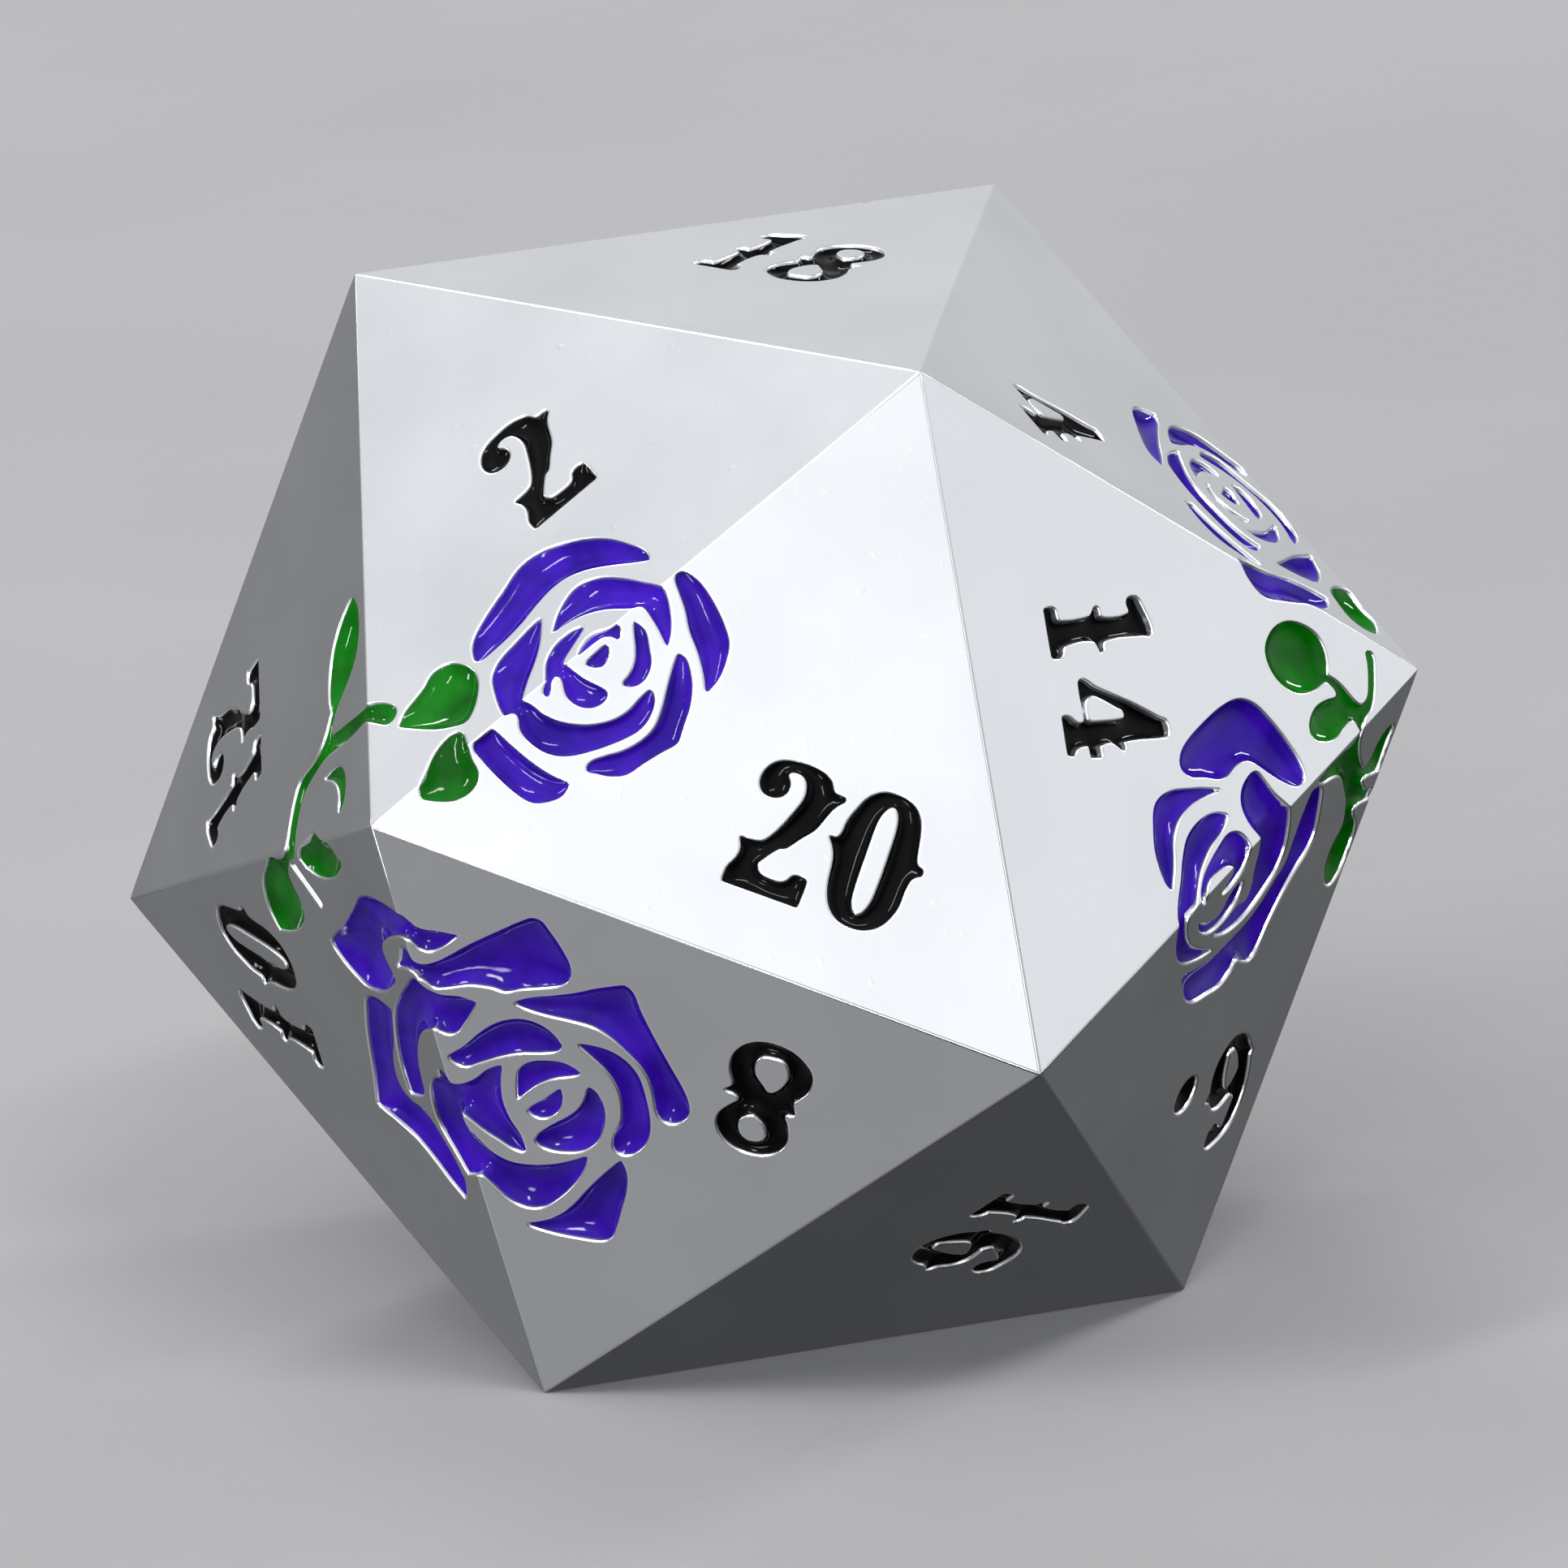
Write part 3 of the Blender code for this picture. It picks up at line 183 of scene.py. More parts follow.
ROSE_C = {
    "outer_left": """29.4,-1.1 28.4,-3 28.4,-7 29,-11 30,-14 32,-16 35.5,-17 40,-17.3 44,-17.2 46.5,-16.6
    47.8,-15.2 47,-13.3 45,-11.9 43,-10.3 41,-9.6 38.5,-9.7 37,-9.3 35.8,-8.3 34.3,-5.5 32.8,-3 31.2,-1.3""",
    "arch": """33.9,5 34.3,8 36,10.5 39,12 42.5,13 46,13.1 49.5,12.3 53.2,10.1! 50,9.8 47,9.4 44.6,9.9
    43.4,8.5 43,6 42.1,2.5 42,0 42.4,-2.5 42,-5 40.5,-6.6 38,-7.3 36.3,-7 35.9,-5.5 35.6,-3 34.9,-1
    34.1,1.5""",
    "outer_top": """25,5 25.2,9 25.8,12 27.5,13.7 30,14.9 33,16.9 36.5,20.1 39,22.9 41,23.9 43.2,22.6
    45.2,20.7! 46.8,21.9 49.5,22.4 53,21.3 56.5,20 58.9,18 60.4,15 61.1,11.8! 58.5,12.8 55.5,14 52,14.9
    48,15.1 43,15 39.5,14 36.5,12.5 34,11.3 32.5,8.8 31,6 29.3,3.3 28.2,1.9! 26.4,2.5 25.3,3.5""",
    "right": """53,12.8! 56,11.9 58.8,10.6 61.3,9 62.9,7 63.7,4.5 63.8,1.5 63.2,-0.6 61.5,-2.3 59,-4.1
    56.5,-6.1 54,-7.6 51.5,-8.1 48.8,-7.9 46.5,-7 45,-5.7! 47.5,-4.8 51,-4.4 54.5,-3.2 57,-1.6 59,-0.1
    60.6,0.6 61.3,2 60.9,4.4 59.8,6.8 57.8,9 55.5,11""",
    "curl": """46,5.4 46.3,7 48,8.4 50.5,9 53.5,8.8 56,7.5 57.5,5.6 58.1,4.1! 56,5.6 53.5,6.9 51.5,6.8
    50,5.6 48,4.8""",
    "heart": """44.5,-1.5 44.8,0.5 45.8,2.3 47.5,3.3 50,3.7 52.1,3.3! 50.5,2.1 49,1 49.8,-0.7 52,-1.2
    54.5,-1.2 56,-0.2 56.5,1.5! 57.5,0.5 57.1,-0.7 55,-2.1 52.5,-2.9 49.5,-3.5 47,-3.8 45.2,-3""",
    "outer_low": """43.6,-8.9! 46.5,-9.9 50,-10.6 53.5,-10.3 56,-8.9 58.5,-6.3 61.3,-4.1! 61.6,-5.5
    61.1,-7.5 60,-9.9 58,-12.3 56,-14.1 54,-14.5 51.5,-13.9 49,-12.5 46.5,-11""",
}
ROSE_D = {
    "outer_left": """54.2,20.3 54.1,24 54.9,29 55.8,32.5 58,34.8 61.8,36! 61.6,34.2 60.3,31 58.8,27
    57.5,22.5 56,18.4!""",
    "outer_top": """62.1,29! 62.8,32 64.5,34.8 67.3,36.8 70.5,37.5 74,36.9 77,36 79.4,35 79.1,33.4
    76,33.5 73,34.1 70,33.8 67,32.3 64.5,30.4""",
    "arc": """68.5,30.4! 69.5,32 71.5,33 74,32.8 76.5,31.5 79,30.2 81.5,28.9 83.5,27.2 84.8,25 85,22.5
    84,20.2 82.5,18.7! 82.5,21 82,23.5 80.5,26 78.5,27.9 76,29.3 73,30.1""",
    "left": """62.9,27.4! 60.8,25.6 59,23.2 58.1,20.5 58.6,17.8 59.8,15 61.5,12.5 63.5,10.3 65.8,8.3
    68,7.4 70.3,7.9 72.4,10.3! 70,10.6 67.5,12 65.5,14 64,16 62.8,18.5 62.3,21 62.4,24""",
    "curl_left": """64.1,21.8! 64.1,24.5 65.3,26.8 67,28.3 69,28.4 71.3,27.1! 69,26.5 67,25.6 65.5,24""",
    "curl_right": """73.3,26.7! 75,27 76.9,25.6 77.8,23.6 77.3,21.6 75.8,20! 75,22 74.3,24""",
    "seed": """68.9,20.9! 70.1,22.8 71.2,24.3 72.6,23.2 72.6,21.4 71,20.5""",
    "heart": """66.5,21.9! 65.7,20.2 66.1,18.3 67.5,16.7 69.5,15.8 71.5,16.1 73.1,17.4! 71,17.1 69,17.4
    67.5,18.6 66.9,20""",
    "crescent": """70.8,13.2! 73,13.2 75.8,14.2 78.1,15.9 79.5,18.4 79.9,21.2! 78.3,19.4 76.8,17.4
    75,15.8 73,14.5""",
    "outer_right": """74.5,7.7! 77,7.9 80.5,8.6 83.3,9.6 85.1,12 86.1,15 86,18.2! 83.5,16.3 81,14.3
    78.8,12.1 76.8,9.9""",
    "outer_low": """63.5,0.4! 66,-1.1 69.5,-2 73,-1.3 77,-0.2 80.5,1 83,3.2 84.1,5.8! 81.5,5.9 78,5.3
    74.5,4.3 71,2.8 67.8,2 65.3,1.6""",
    "low_left": """57.1,10.4! 57.9,8 59.4,5.6 61.4,4 64,3.3 67,3.1 69.7,3.5! 66.5,5.1 63.8,6.6 61.2,8.6
    58.8,11!""",
}
LEAVES_A = {
    "leaf_1": """12.2,10.7! 14,12 16.5,12.7 18.5,13.3 20,14.1 21.5,14.3 23.4,13.6 24.7,11.8 25.1,9.5
    24.5,7.7 23,5.8 21.2,4.3 19.6,3.7 17.8,4.6 15.8,6.2 14,8.3""",
    "leaf_2": """8,-1.6! 9,0 11,1.3 13.5,2.8 15.8,3.4 17.6,3.3 18.3,2.4! 17.6,0 16.8,-1.8 16.5,-3.3
    15.6,-4.4 13.5,-4.9 11.5,-4.5 9.6,-3.2""",
}
VINE_C = {
    "stem": """-40.3,17! -38,20 -34.5,21.4 -31,21 -28.6,20.5 -27.3,18.7 -25.5,17.7 -23.5,18 -21.5,20
    -18.5,22.5 -16,23.5 -12,22.9 -9.8,22.8 -7,23.5 -4.2,25.3! -4,28 -2.5,31.2 0,33.9 3.5,35.6 7.6,36.5!
    8.4,33.5 7.6,30 5.8,27.4 3,25.9 0,25.1 -3,24.3! -5.8,22.4! -2,20.7 3,18.5 6,17.3 8.4,14.8 8.6,13.1
    7.2,12.4 5.8,14 4.5,15.5 0,17 -4,18.7 -8,20.4 -12,20.9 -15.5,20.8 -18,19.5 -20.3,17.3 -21.3,15.8
    -23.3,15.6 -25.4,16.5 -27.6,16.3 -28.8,15 -30,13.2 -32.5,12 -35.5,12.8 -38,14.6""",
    "leaf_3": """-22.3,14 -20.5,14.6 -18,14 -15.6,13.2 -14.5,11 -13.4,9.3 -13.1,7.5 -13.7,5.2! -16,5.8
    -18.5,7 -20.6,9 -21.9,11.5""",
    "bud": """-9.7,17.8! -7.5,17.3 -5.5,16.3 -4.2,14.5 -4.1,12.5 -4.9,10.9 -6,9.9 -7.7,9.7 -6.9,11.5
    -6.6,13.2 -7.3,15.2 -8.5,16.7""",
}
STALK_GROOVE = "-25.3,15.9 -24.4,15.6 -24.8,12.6 -25.5,8.6 -26.4,8.3 -26.5,9.3 -25.9,12.8"
VINE_F = {
    "vine": """9.2,-17.2 8.3,-14.5 8.8,-12 10.2,-10 11.3,-9.1! 10.8,-7.5 10.7,-5.5 10.8,-3.6 10.5,-2.4!
    9,-2.5 7,-4.1 5.3,-5.9 4.3,-7.4! 3.8,-6.3 5.5,-4.3 7.8,-2.2 9.8,-1 11.3,-0.8 12.2,0.4 12.5,2 12.1,4
    11,6.5 9.3,9.2! 8,8.4 7,6.8 5.2,5.8 3.5,6.4 2.9,8.2 3.5,10.5 4.5,13! 6.5,12 8.7,11.2 8.3,12.7
    7.1,14.2 5.3,15.4 5,17! 7,16 9.2,15.3 9.3,16.6 8,18.6 7.5,21 7.9,23.6 9,25.6 11,26.4 12.6,25.2
    13.7,23 14.1,20.5 13.4,18.2 11.9,16.7 11.7,15 12.5,12 14.2,8.2 16,5.2 18,3.8 20.5,2.8 22.4,1.3!
    20,0.7 17,0.9 14.8,1.4 13.5,0.7 13,-0.9 12.9,-1.9 14.5,-2.1 16.5,-1.9 18.4,-2.8 19.3,-4.3 18.4,-6
    16,-7 14,-6.6 12.4,-5.9 11.8,-7 12,-8.6! 14,-8.9 16.2,-10.1 17.3,-12.5 17.1,-15.5 15.6,-18.1 13,-19.2
    10.8,-18.8""",
}
LEAF_D = {
    "leaf_4": """86.4,7 86.1,9 87.5,11.1 89.5,12.8 91.5,13.4 93.5,11.7! 94.4,9.5 94.3,6.5 93.1,3.9
    90.5,2.9 88,3.4 86.9,5""",
}
GLYPHS = {
    "0": ["""7.3,0.1 9.3,0.5 10.9,1.6 11.9,3.2 12.5,5.3 12.5,7 12.7,8.9 13.1,9.7 14.1,10.3! 13.9,11.1
    12.9,11.5 12.4,12.9 12,14.9 11.3,17.2 10.1,18.8 8.6,19.5 6.6,19.7 4.9,19.3 3.3,17.9 2.4,16 1.7,13.9
    1.5,11.9 1.1,11.2 0,11.1! 1.1,9.6 1.7,7.9 2,5.7 2.4,3.8 3.4,1.8 5,0.5""",
          """7.3,1.9 8.3,2.9 8.8,5.4 8.7,13.4 8.4,16.2 7.7,17.7 7,18 6.2,17.3 5.6,15.3 5.6,10.4 5.7,5.9
    6,3.4 6.6,2.3"""],
    "1": ["""0.1,0! 7.1,0! 7.2,1.5 6.6,2.4 5.6,2.9 5.4,8.5 7.1,9.5! 6.9,10.2 5.5,10.8 5.4,18.2 5.6,19.5
    5,20.1 3.5,19.9 1.5,19.1 0.1,18.4 -0.2,17.4 0,16.4 0.8,16.1 2.1,16.2 2.2,10.8 0.7,10.4 0.7,9.6!
    1.9,8.5 2.1,2.7 1.6,2.3 0.4,2.2 0,1.5"""],
    "2": ["""0,0! 11.2,0.1! 11.2,3.9 10.7,4.2 9.3,4.1 8.6,3 7.5,2.5 4.5,2.8 3.8,4! 4.6,5.2 6,7 6.8,7.3
    8.3,9.3 9.8,11.2 10.5,13 11.3,15 12.5,16.4! 12.2,16.8 10.5,17 9.7,18.2 8.3,19 6.3,19.3 3.8,19.1
    1.8,18.4 0.6,17 0.2,15.3 0.7,14 2,13.4 3.6,13.8 4.4,15 4.2,16.2 3.6,17.2 4.6,17.8 6.1,17.4 6.8,16
    6.9,14.5 6.3,12.5 5.1,9.5 3.7,7.3 2.3,6.8 0.3,6.7! 1,5 0.8,3.5 0.1,2"""],
    "3": ["""6,0 8.4,0.5 10.3,1.7 11.3,3.6 11.4,5.8 10.8,7.8 9.6,9.2! 11,10.2! 9.8,10.9 10.8,12.6 11,14.6
    10.3,16.8 8.7,18.6 6.6,19.4 4.2,19.4 2.1,18.6 0.8,17 0.7,15.2 1.5,13.9 3,13.6 4.3,14.4 4.5,15.8
    3.9,17 4.9,17.7 6.4,17.2 7.1,15.6 6.9,13.4 5.8,11.6 3.6,10.5! 3.6,9.3! 5.9,8.6 7.2,6.8 7.4,4.4
    6.6,2.5 5.1,1.9 4,2.6 4.6,3.8 4.3,5.2 3,6 1.4,5.6 0.4,4.2 0.7,2.4 2.2,0.9 4,0.2"""],
    "4": ["""4.8,0! 10.3,-0.1! 10.5,1.1 9.7,1.8 9.4,2.6 9.3,4.2! 11.1,4.3! 11.2,6.5! 9.5,6.5! 9.3,8.7
    10.7,10.7! 10.3,11.4 9.4,11.2 9.5,19.1! 9.2,20 7.2,19.9 6.7,18.8 4.3,14.2 1.2,7.2 0.2,5.8 0,4.6
    0.4,4.2 5.8,4.2! 6.1,3.7 5.9,2.5 5,1.4""",
          """6.2,11.6 5.9,12 5,11.9 4.6,11.2 2.4,6.9 2.5,6 3,5.1 5.7,4.9 6.1,6"""],
    "5": ["""5.7,0 8.2,0.4 10.2,1.8 11.3,4 11.5,6.6 10.9,9.2 9.4,11 7.2,11.9 5.2,11.6 3.9,10.8! 4.1,14.6!
    7,14.5 9.2,15 10.4,16.6 11,19.5! 9.6,18.9 1.6,19.2! 2,18 1.7,13 1.2,10! 0.2,9.2! 1.6,8.6 3.1,8.9
    4.9,10 6.4,9.6 7.3,7.8 7.5,5 6.8,2.8 5.4,1.9 4,2.4 4.5,3.9 4.1,5.4 2.7,6 1.1,5.4 0.4,3.9 0.8,2.1
    2.2,0.8 3.8,0.2"""],
    "6": ["""6.4,0 3.9,1 1.9,3.3 0.8,6.1 0,7.5! 0.6,8.3 0.7,11.3 1.2,14.3 2.5,17.1 4.4,19 6.4,19.6
    8.9,19.5 10.9,19 11.6,17.5 11,15.9 9.6,15.3 8.2,16.1 7.4,17.5 6.4,16.5 5,14.3 4.5,13.3 5.7,11.9!
    8.4,12.2 10.4,11.3 11.7,8.8 13,7.9! 11.7,6.3 11.4,4.3 10.4,2 8.4,0.4""",
          """6.9,10 4.9,9 4,7.8 4.4,5.3 5.1,3.3 5.9,2.3 7,2.6 7.4,4.3 7.7,7.3 7.4,9.2"""],
    "7": ["""3.2,0! 8.4,0! 8,1.4 7.2,2.6 7,5 7.6,7.6! 8.8,8.2! 7.9,9.4 8.9,12.4 10.9,15.6 11.9,18
    11.9,19.5! 10.7,18.9 1.6,19! 0.9,19.8! 0.3,18.6 0.5,14.8 0.1,13.2! 1.6,13.4 2.5,14.8 3.9,15.9
    7.3,15.8! 5.9,13.2 4.6,10.3 3,9.6! 4.1,8.6 3.9,5 3.6,2.4 3.1,1.2"""],
    "8": ["""5.6,20.2 3.4,19.8 1.4,18.5 0.5,16.8 0.5,15.1 1.2,13.1 1.9,11.5 0.5,10.9! 1,10.1 1.4,8.9
    0.6,7.5 0,6 0,4.1 0.7,2.5 2.2,1.2 3.7,0.4 5.9,0 8.4,0.4 10.4,1.7 11.5,3.6 11.7,5.3 11.3,7.2 10.6,8.5
    10.3,9.5 11.3,10.8! 8.9,11.4 9.7,13.1 10.6,14.7 10.8,16.3 10.2,17.9 8.7,19.4 6.9,20.1""",
          """5.7,18.1 7,17.5 7.8,15.9 7.4,14.3 6.2,13.3! 4.4,14.3 3.5,15.7 3.6,17.1 4.6,17.9""",
          """5.2,8.7 6.4,7.8 7.9,6.3 8.4,4.3 7.8,2.9 6.4,2.4 4.6,2.4 3.7,3.4 3.2,4.8 3.4,6.3 4.1,7.9"""],
}

# number: (corner order, left edge of each digit, foot height, frame origin, frame turn in degrees)
NUMERALS = {
    20: ("cba", (48.7, 60.7), 10.0, None, 0),
    2: ("cad", (45.0,), 24.4, None, 0),
    14: ("abf", (35.1, 45.7), 15.8, None, 0),
    8: ("bcg", (29.6,), 11.7, None, 0),
    16: ("bgh", (31.6, 41.6), 26.7, None, 0),
    6: ("fbh", (37.0,), 40.0, None, 0),
    10: ("gci", (40.0, 50.2), 39.5, None, 0),
    18: ("dae", (38.2, 48.8), 29.4, None, 0),
    12: ("cdi", (37.4, 47.3), 38.0, None, 0),
    4: ("afe", (-5.6,), -10.0, (32.5, 13.5), -60),
}


# ---- corners, faces and drawing frames, measured from the middle of the die ----
def ring(names, radius, height, start):
    out = {}
    for step, name in enumerate(names):
        angle = math.radians(start + 120 * step)
        out[name] = np.array((radius * math.cos(angle), radius * math.sin(angle), height))
    return out


def die_corners():
    small = 100 / math.sqrt(3)
    large = small * GOLDEN
    corners = ring("ghm", small, -HALF_ACROSS, 210)
    corners.update(ring("bki", large, small - HALF_ACROSS, 270))
    corners.update(ring("cfj", large, HALF_ACROSS - small, 210))
    corners.update(ring("aed", small, HALF_ACROSS, 270))
    return corners


CORNERS = die_corners()
FACES = {
    20: "cba", 2: "cad", 18: "dae", 4: "afe", 14: "abf", 8: "bcg", 16: "bgh", 6: "fbh",
    10: "gci", 12: "cdi", 11: "fke", 9: "hkf", 1: "mjk", 7: "ijm", 19: "hmk", 3: "gmh",
    17: "mgi", 13: "jek", 5: "jde", 15: "jid",
}
NUMBERS = list(FACES)
FACE_CORNERS = np.array([[CORNERS[name] for name in FACES[number]] for number in NUMBERS])
NORMALS = FACE_CORNERS.sum(axis=1)
NORMALS /= np.linalg.norm(NORMALS, axis=1)[:, None]


def unit(vector):
    return vector / np.linalg.norm(vector)


def units(rows):
    return rows / np.linalg.norm(rows, axis=1)[:, None]


def dots(a, b):
    """Dot product of each row of a with the same row of b."""
    return np.einsum("ij,ij->i", a, b)


def after(line):
    """The next point of each point of a closed line."""
    return np.roll(line, -1, axis=0)


def side_names(names):
    """The corner names of each side of a face, in alphabetical order."""
    return [tuple(sorted((names[k], names[(k + 1) % 3]))) for k in range(3)]


class Sheet:
    """Flat drawing sheet: x and y on it, and a normal along which drawings drop onto the die."""

    LEAST_LEAN = 0.05   # faces nearly edge-on to the sheet, and those behind it, carry no drawing

    def __init__(self, origin, along, normal):
        self.origin = np.array(origin, float)
        self.z = unit(normal)
        self.x = unit(along - along.dot(self.z) * self.z)
        self.y = np.cross(self.z, self.x)
        lean = NORMALS @ self.z
        self.faces = np.flatnonzero(lean > self.LEAST_LEAN)
        self.lean = lean[self.faces]

    def turned(self, turn):
        return Sheet(turn @ self.origin, turn @ self.x, turn @ self.z)

    def moved(self, x, y, angle):
        """The same sheet with its origin at x, y and its axes turned by the angle in degrees."""
        origin = self.origin + x * self.x + y * self.y
        a = math.radians(angle)
        return Sheet(origin, math.cos(a) * self.x + math.sin(a) * self.y, self.z)

    def heights(self, flat):
        """Height above the sheet of every face plane over the drawn points."""
        base = self.origin + flat[:, :1] * self.x + flat[:, 1:2] * self.y
        return base, (HALF_ACROSS - base @ NORMALS[self.faces].T) / self.lean

    def drop(self, flat):
        """Points of the sharp die under drawn points, and the face of each."""
        base, heights = self.heights(flat)
        pick = heights.argmin(axis=1)
        height = heights[np.arange(len(flat)), pick]
        return base + height[:, None] * self.z, self.faces[pick]

    def draw(self, points):
        """Drawn coordinates of points in space."""
        offset = points - self.origin
        return np.stack((offset @ self.x, offset @ self.y), axis=-1)

    def stretch(self, flat, steps):
        """How much longer a small step on the sheet becomes on the die."""
        _, face = self.drop(flat)
        normal = NORMALS[face]
        step = steps[:, :1] * self.x + steps[:, 1:2] * self.y
        rise = -dots(step, normal) / (normal @ self.z)
        return np.sqrt(dots(step, step) + rise ** 2)


def face_sheet(order):
    a, b, c = (CORNERS[name] for name in order)
    return Sheet(a, b - a, np.cross(b - a, c - a))


def edge_sheet(p, q):
    return Sheet(CORNERS[p], CORNERS[q] - CORNERS[p], CORNERS[p] + CORNERS[q])


def corner_sheet(p, q):
    return Sheet(CORNERS[p], CORNERS[q] - CORNERS[p], CORNERS[p])


def half_turn():
    """Turn of 180 degrees about the middle of edge ef."""
    axis = unit(CORNERS["e"] + CORNERS["f"])
    return 2 * np.outer(axis, axis) - np.eye(3)


HALF_TURN = half_turn()


def closest_on_triangle(points, corners):
    """Closest points of triangles, one triangle (3 corners) for each point."""
    normal = units(np.cross(corners[:, 1] - corners[:, 0], corners[:, 2] - corners[:, 0]))
    inside = np.ones(len(points), bool)
    feet = []
    for k in range(3):
        start = corners[:, k]
        side = corners[:, (k + 1) % 3] - start
        length = np.linalg.norm(side, axis=1)
        side = side / length[:, None]
        offset = points - start
        inside &= dots(offset, np.cross(normal, side)) >= 0
        along = np.clip(dots(offset, side), 0, length)
        feet.append(start + along[:, None] * side)
    feet = np.array(feet)
    nearest = np.linalg.norm(points - feet, axis=2).argmin(axis=0)
    return np.where(inside[:, None], points, feet[nearest, np.arange(len(points))])


def sink(points, faces, depth, radius):
    """Points of the sharp die moved onto the die with rounded edges that lies deeper by the depth."""
    depth = np.broadcast_to(depth, (len(points),))
    inset = depth + radius
    scale = (HALF_ACROSS - inset) / HALF_ACROSS
    corners = FACE_CORNERS[faces] * scale[:, None, None]
    level = points - inset[:, None] * NORMALS[faces]
    core = closest_on_triangle(level, corners)
    return core + radius * units(points - core)


# ---- outlines ----
def outline(text):
    """Corner points and their sharpness from "x,y" words; "!" marks a sharp point."""
    points, sharp = [], []
    for word in text.split():
        sharp.append(word.endswith("!"))
        points.append([float(v) for v in word.rstrip("!").split(",")])
    return np.array(points), sharp


def evenly(points, step, fewest=12):
    """Closed line resampled to an even spacing."""
    closed = np.vstack((points, points[:1]))
    lengths = np.r_[0, np.cumsum(np.linalg.norm(np.diff(closed, axis=0), axis=1))]
    count = max(fewest, int(round(lengths[-1] / step)))
    at = np.linspace(0, lengths[-1], count, endpoint=False)
    return np.stack([np.interp(at, lengths, closed[:, k]) for k in range(2)], axis=1)


def flowing(text, step):
    """Smooth closed line through an outline's points, with its tips barely blunted."""
    points, sharp = outline(text)
    count = len(points)
    t = np.arange(0, 1, 0.1)[:, None]   # ten points of a cubic curve between each two
    line = []
    for k in range(count):
        m = (k + 1) % count
        p, q = points[k], points[m]
        third = (q - p) / 3
        reach = np.linalg.norm(q - p) / 3
        start = p + third if sharp[k] else p + unit(q - points[k - 1]) * reach
        end = q - third if sharp[m] else q - unit(points[(m + 1) % count] - p) * reach
        line.append((1 - t) ** 3 * p + 3 * (1 - t) ** 2 * t * start + 3 * (1 - t) * t * t * end + t ** 3 * q)
    fine = evenly(np.vstack(line), step / 2)
    for _ in range(2):
        fine = fine / 2 + (np.roll(fine, 1, axis=0) + after(fine)) / 4
    return evenly(fine, step)


def area(points):
    ends = after(points)
    return (points[:, 0] * ends[:, 1] - ends[:, 0] * points[:, 1]).sum() / 2


def within(flat, loops):
    """True for drawn points inside the loops, by the even-odd rule."""
    out = np.zeros(len(flat), bool)
    for loop in loops:
        a, b = loop, after(loop)
        above = a[:, 1][None] > flat[:, 1:2]
        crosses = above != (b[:, 1][None] > flat[:, 1:2])
        rise = np.where(b[:, 1] == a[:, 1], 1.0, b[:, 1] - a[:, 1])
        x = a[:, 0] + (flat[:, 1:2] - a[:, 1]) / rise * (b[:, 0] - a[:, 0])
        out ^= (crosses & (flat[:, :1] < x)).sum(axis=1) % 2 == 1
    return out


class Recess:
    """One pocket: its closed lines on a sheet, the first one round it and the rest round islands."""

    CHUNK = 2000    # points measured at a time
    UNFOLDED = 0.8  # a moved point nearer than this share of the gap belongs to a folded stretch

    def __init__(self, sheet, loops, fill, floor=POCKET_DEPTH):
        self.sheet = sheet
        self.fill = fill
        self.floor = floor
        self.loops = [loop[::-1] if (area(loop) > 0) == (k > 0) else loop for k, loop in enumerate(loops)]
        lines = [sheet.drop(split_at_folds(sheet, loop))[0] for loop in self.loops]
        self.starts = np.vstack(lines)
        self.ends = np.vstack([after(line) for line in lines])
        self.middle = self.starts.mean(axis=0)
        self.reach = np.linalg.norm(self.starts - self.middle, axis=1).max()

    def distance(self, points):
        """Distance of points on the die from the outline, negative inside."""
        side = self.ends - self.starts
        square = dots(side, side)
        square[square == 0] = 1
        out = np.empty(len(points))
        for first in range(0, len(points), self.CHUNK):
            part = slice(first, first + self.CHUNK)
            offset = points[part][:, None] - self.starts[None]
            along = np.clip(np.einsum("ijk,jk->ij", offset, side) / square, 0, 1)
            offset -= along[..., None] * side[None]
            out[part] = np.sqrt(np.einsum("ijk,ijk->ij", offset, offset).min(axis=1))
        inside = within(self.sheet.draw(points), self.loops)
        return np.where(inside, -out, out)

    def offset_loops(self, gap):
        """The outline's closed lines moved outwards by the gap, without their folded stretches."""
        out = []
        for loop in self.loops:
            along = units(after(loop) - np.roll(loop, 1, axis=0))
            outward = np.stack((along[:, 1], -along[:, 0]), axis=1)
            moved = loop + outward * (gap / self.sheet.stretch(loop, outward))[:, None]
            if gap != 0:
                points, _ = self.sheet.drop(moved)
                true = self.distance(points) * np.sign(gap)
                moved = moved[true > abs(gap) * self.UNFOLDED]
            if len(moved) > 5:  # fewer are only what is left of a fold
                out.append(moved)
        return out


def split_at_folds(sheet, loop):
    """Adds a point wherever a closed line crosses an edge of the die."""
    out = []
    _, faces = sheet.drop(loop)
    for a, b, first, last in zip(loop, after(loop), faces, after(faces)):
        out.append(a)
        if first != last:
            out.extend(fold_points(sheet, a, b, first, last))
    return np.array(out)


def fold_points(sheet, a, b, first, last):
    """Where the stretch from a to b passes from its first face to its last one."""
    columns = [int(np.flatnonzero(sheet.faces == face)[0]) for face in (first, last)]
    _, heights = sheet.heights(np.array([a, b]))
    gap = heights[:, columns[0]] - heights[:, columns[1]]
    t = gap[0] / (gap[0] - gap[1])
    if len(set(FACES[NUMBERS[first]]) & set(FACES[NUMBERS[last]])) == 2:  # the two faces share an edge
        return [a + (b - a) * t]
    half = (a + b) / 2
    _, face = sheet.drop(half[None])
    out = []
    if face[0] != first:
        out.extend(fold_points(sheet, a, half, first, face[0]))
    if face[0] not in (first, last):
        out.append(half)
    if face[0] != last:
        out.extend(fold_points(sheet, half, b, face[0], last))
    return out


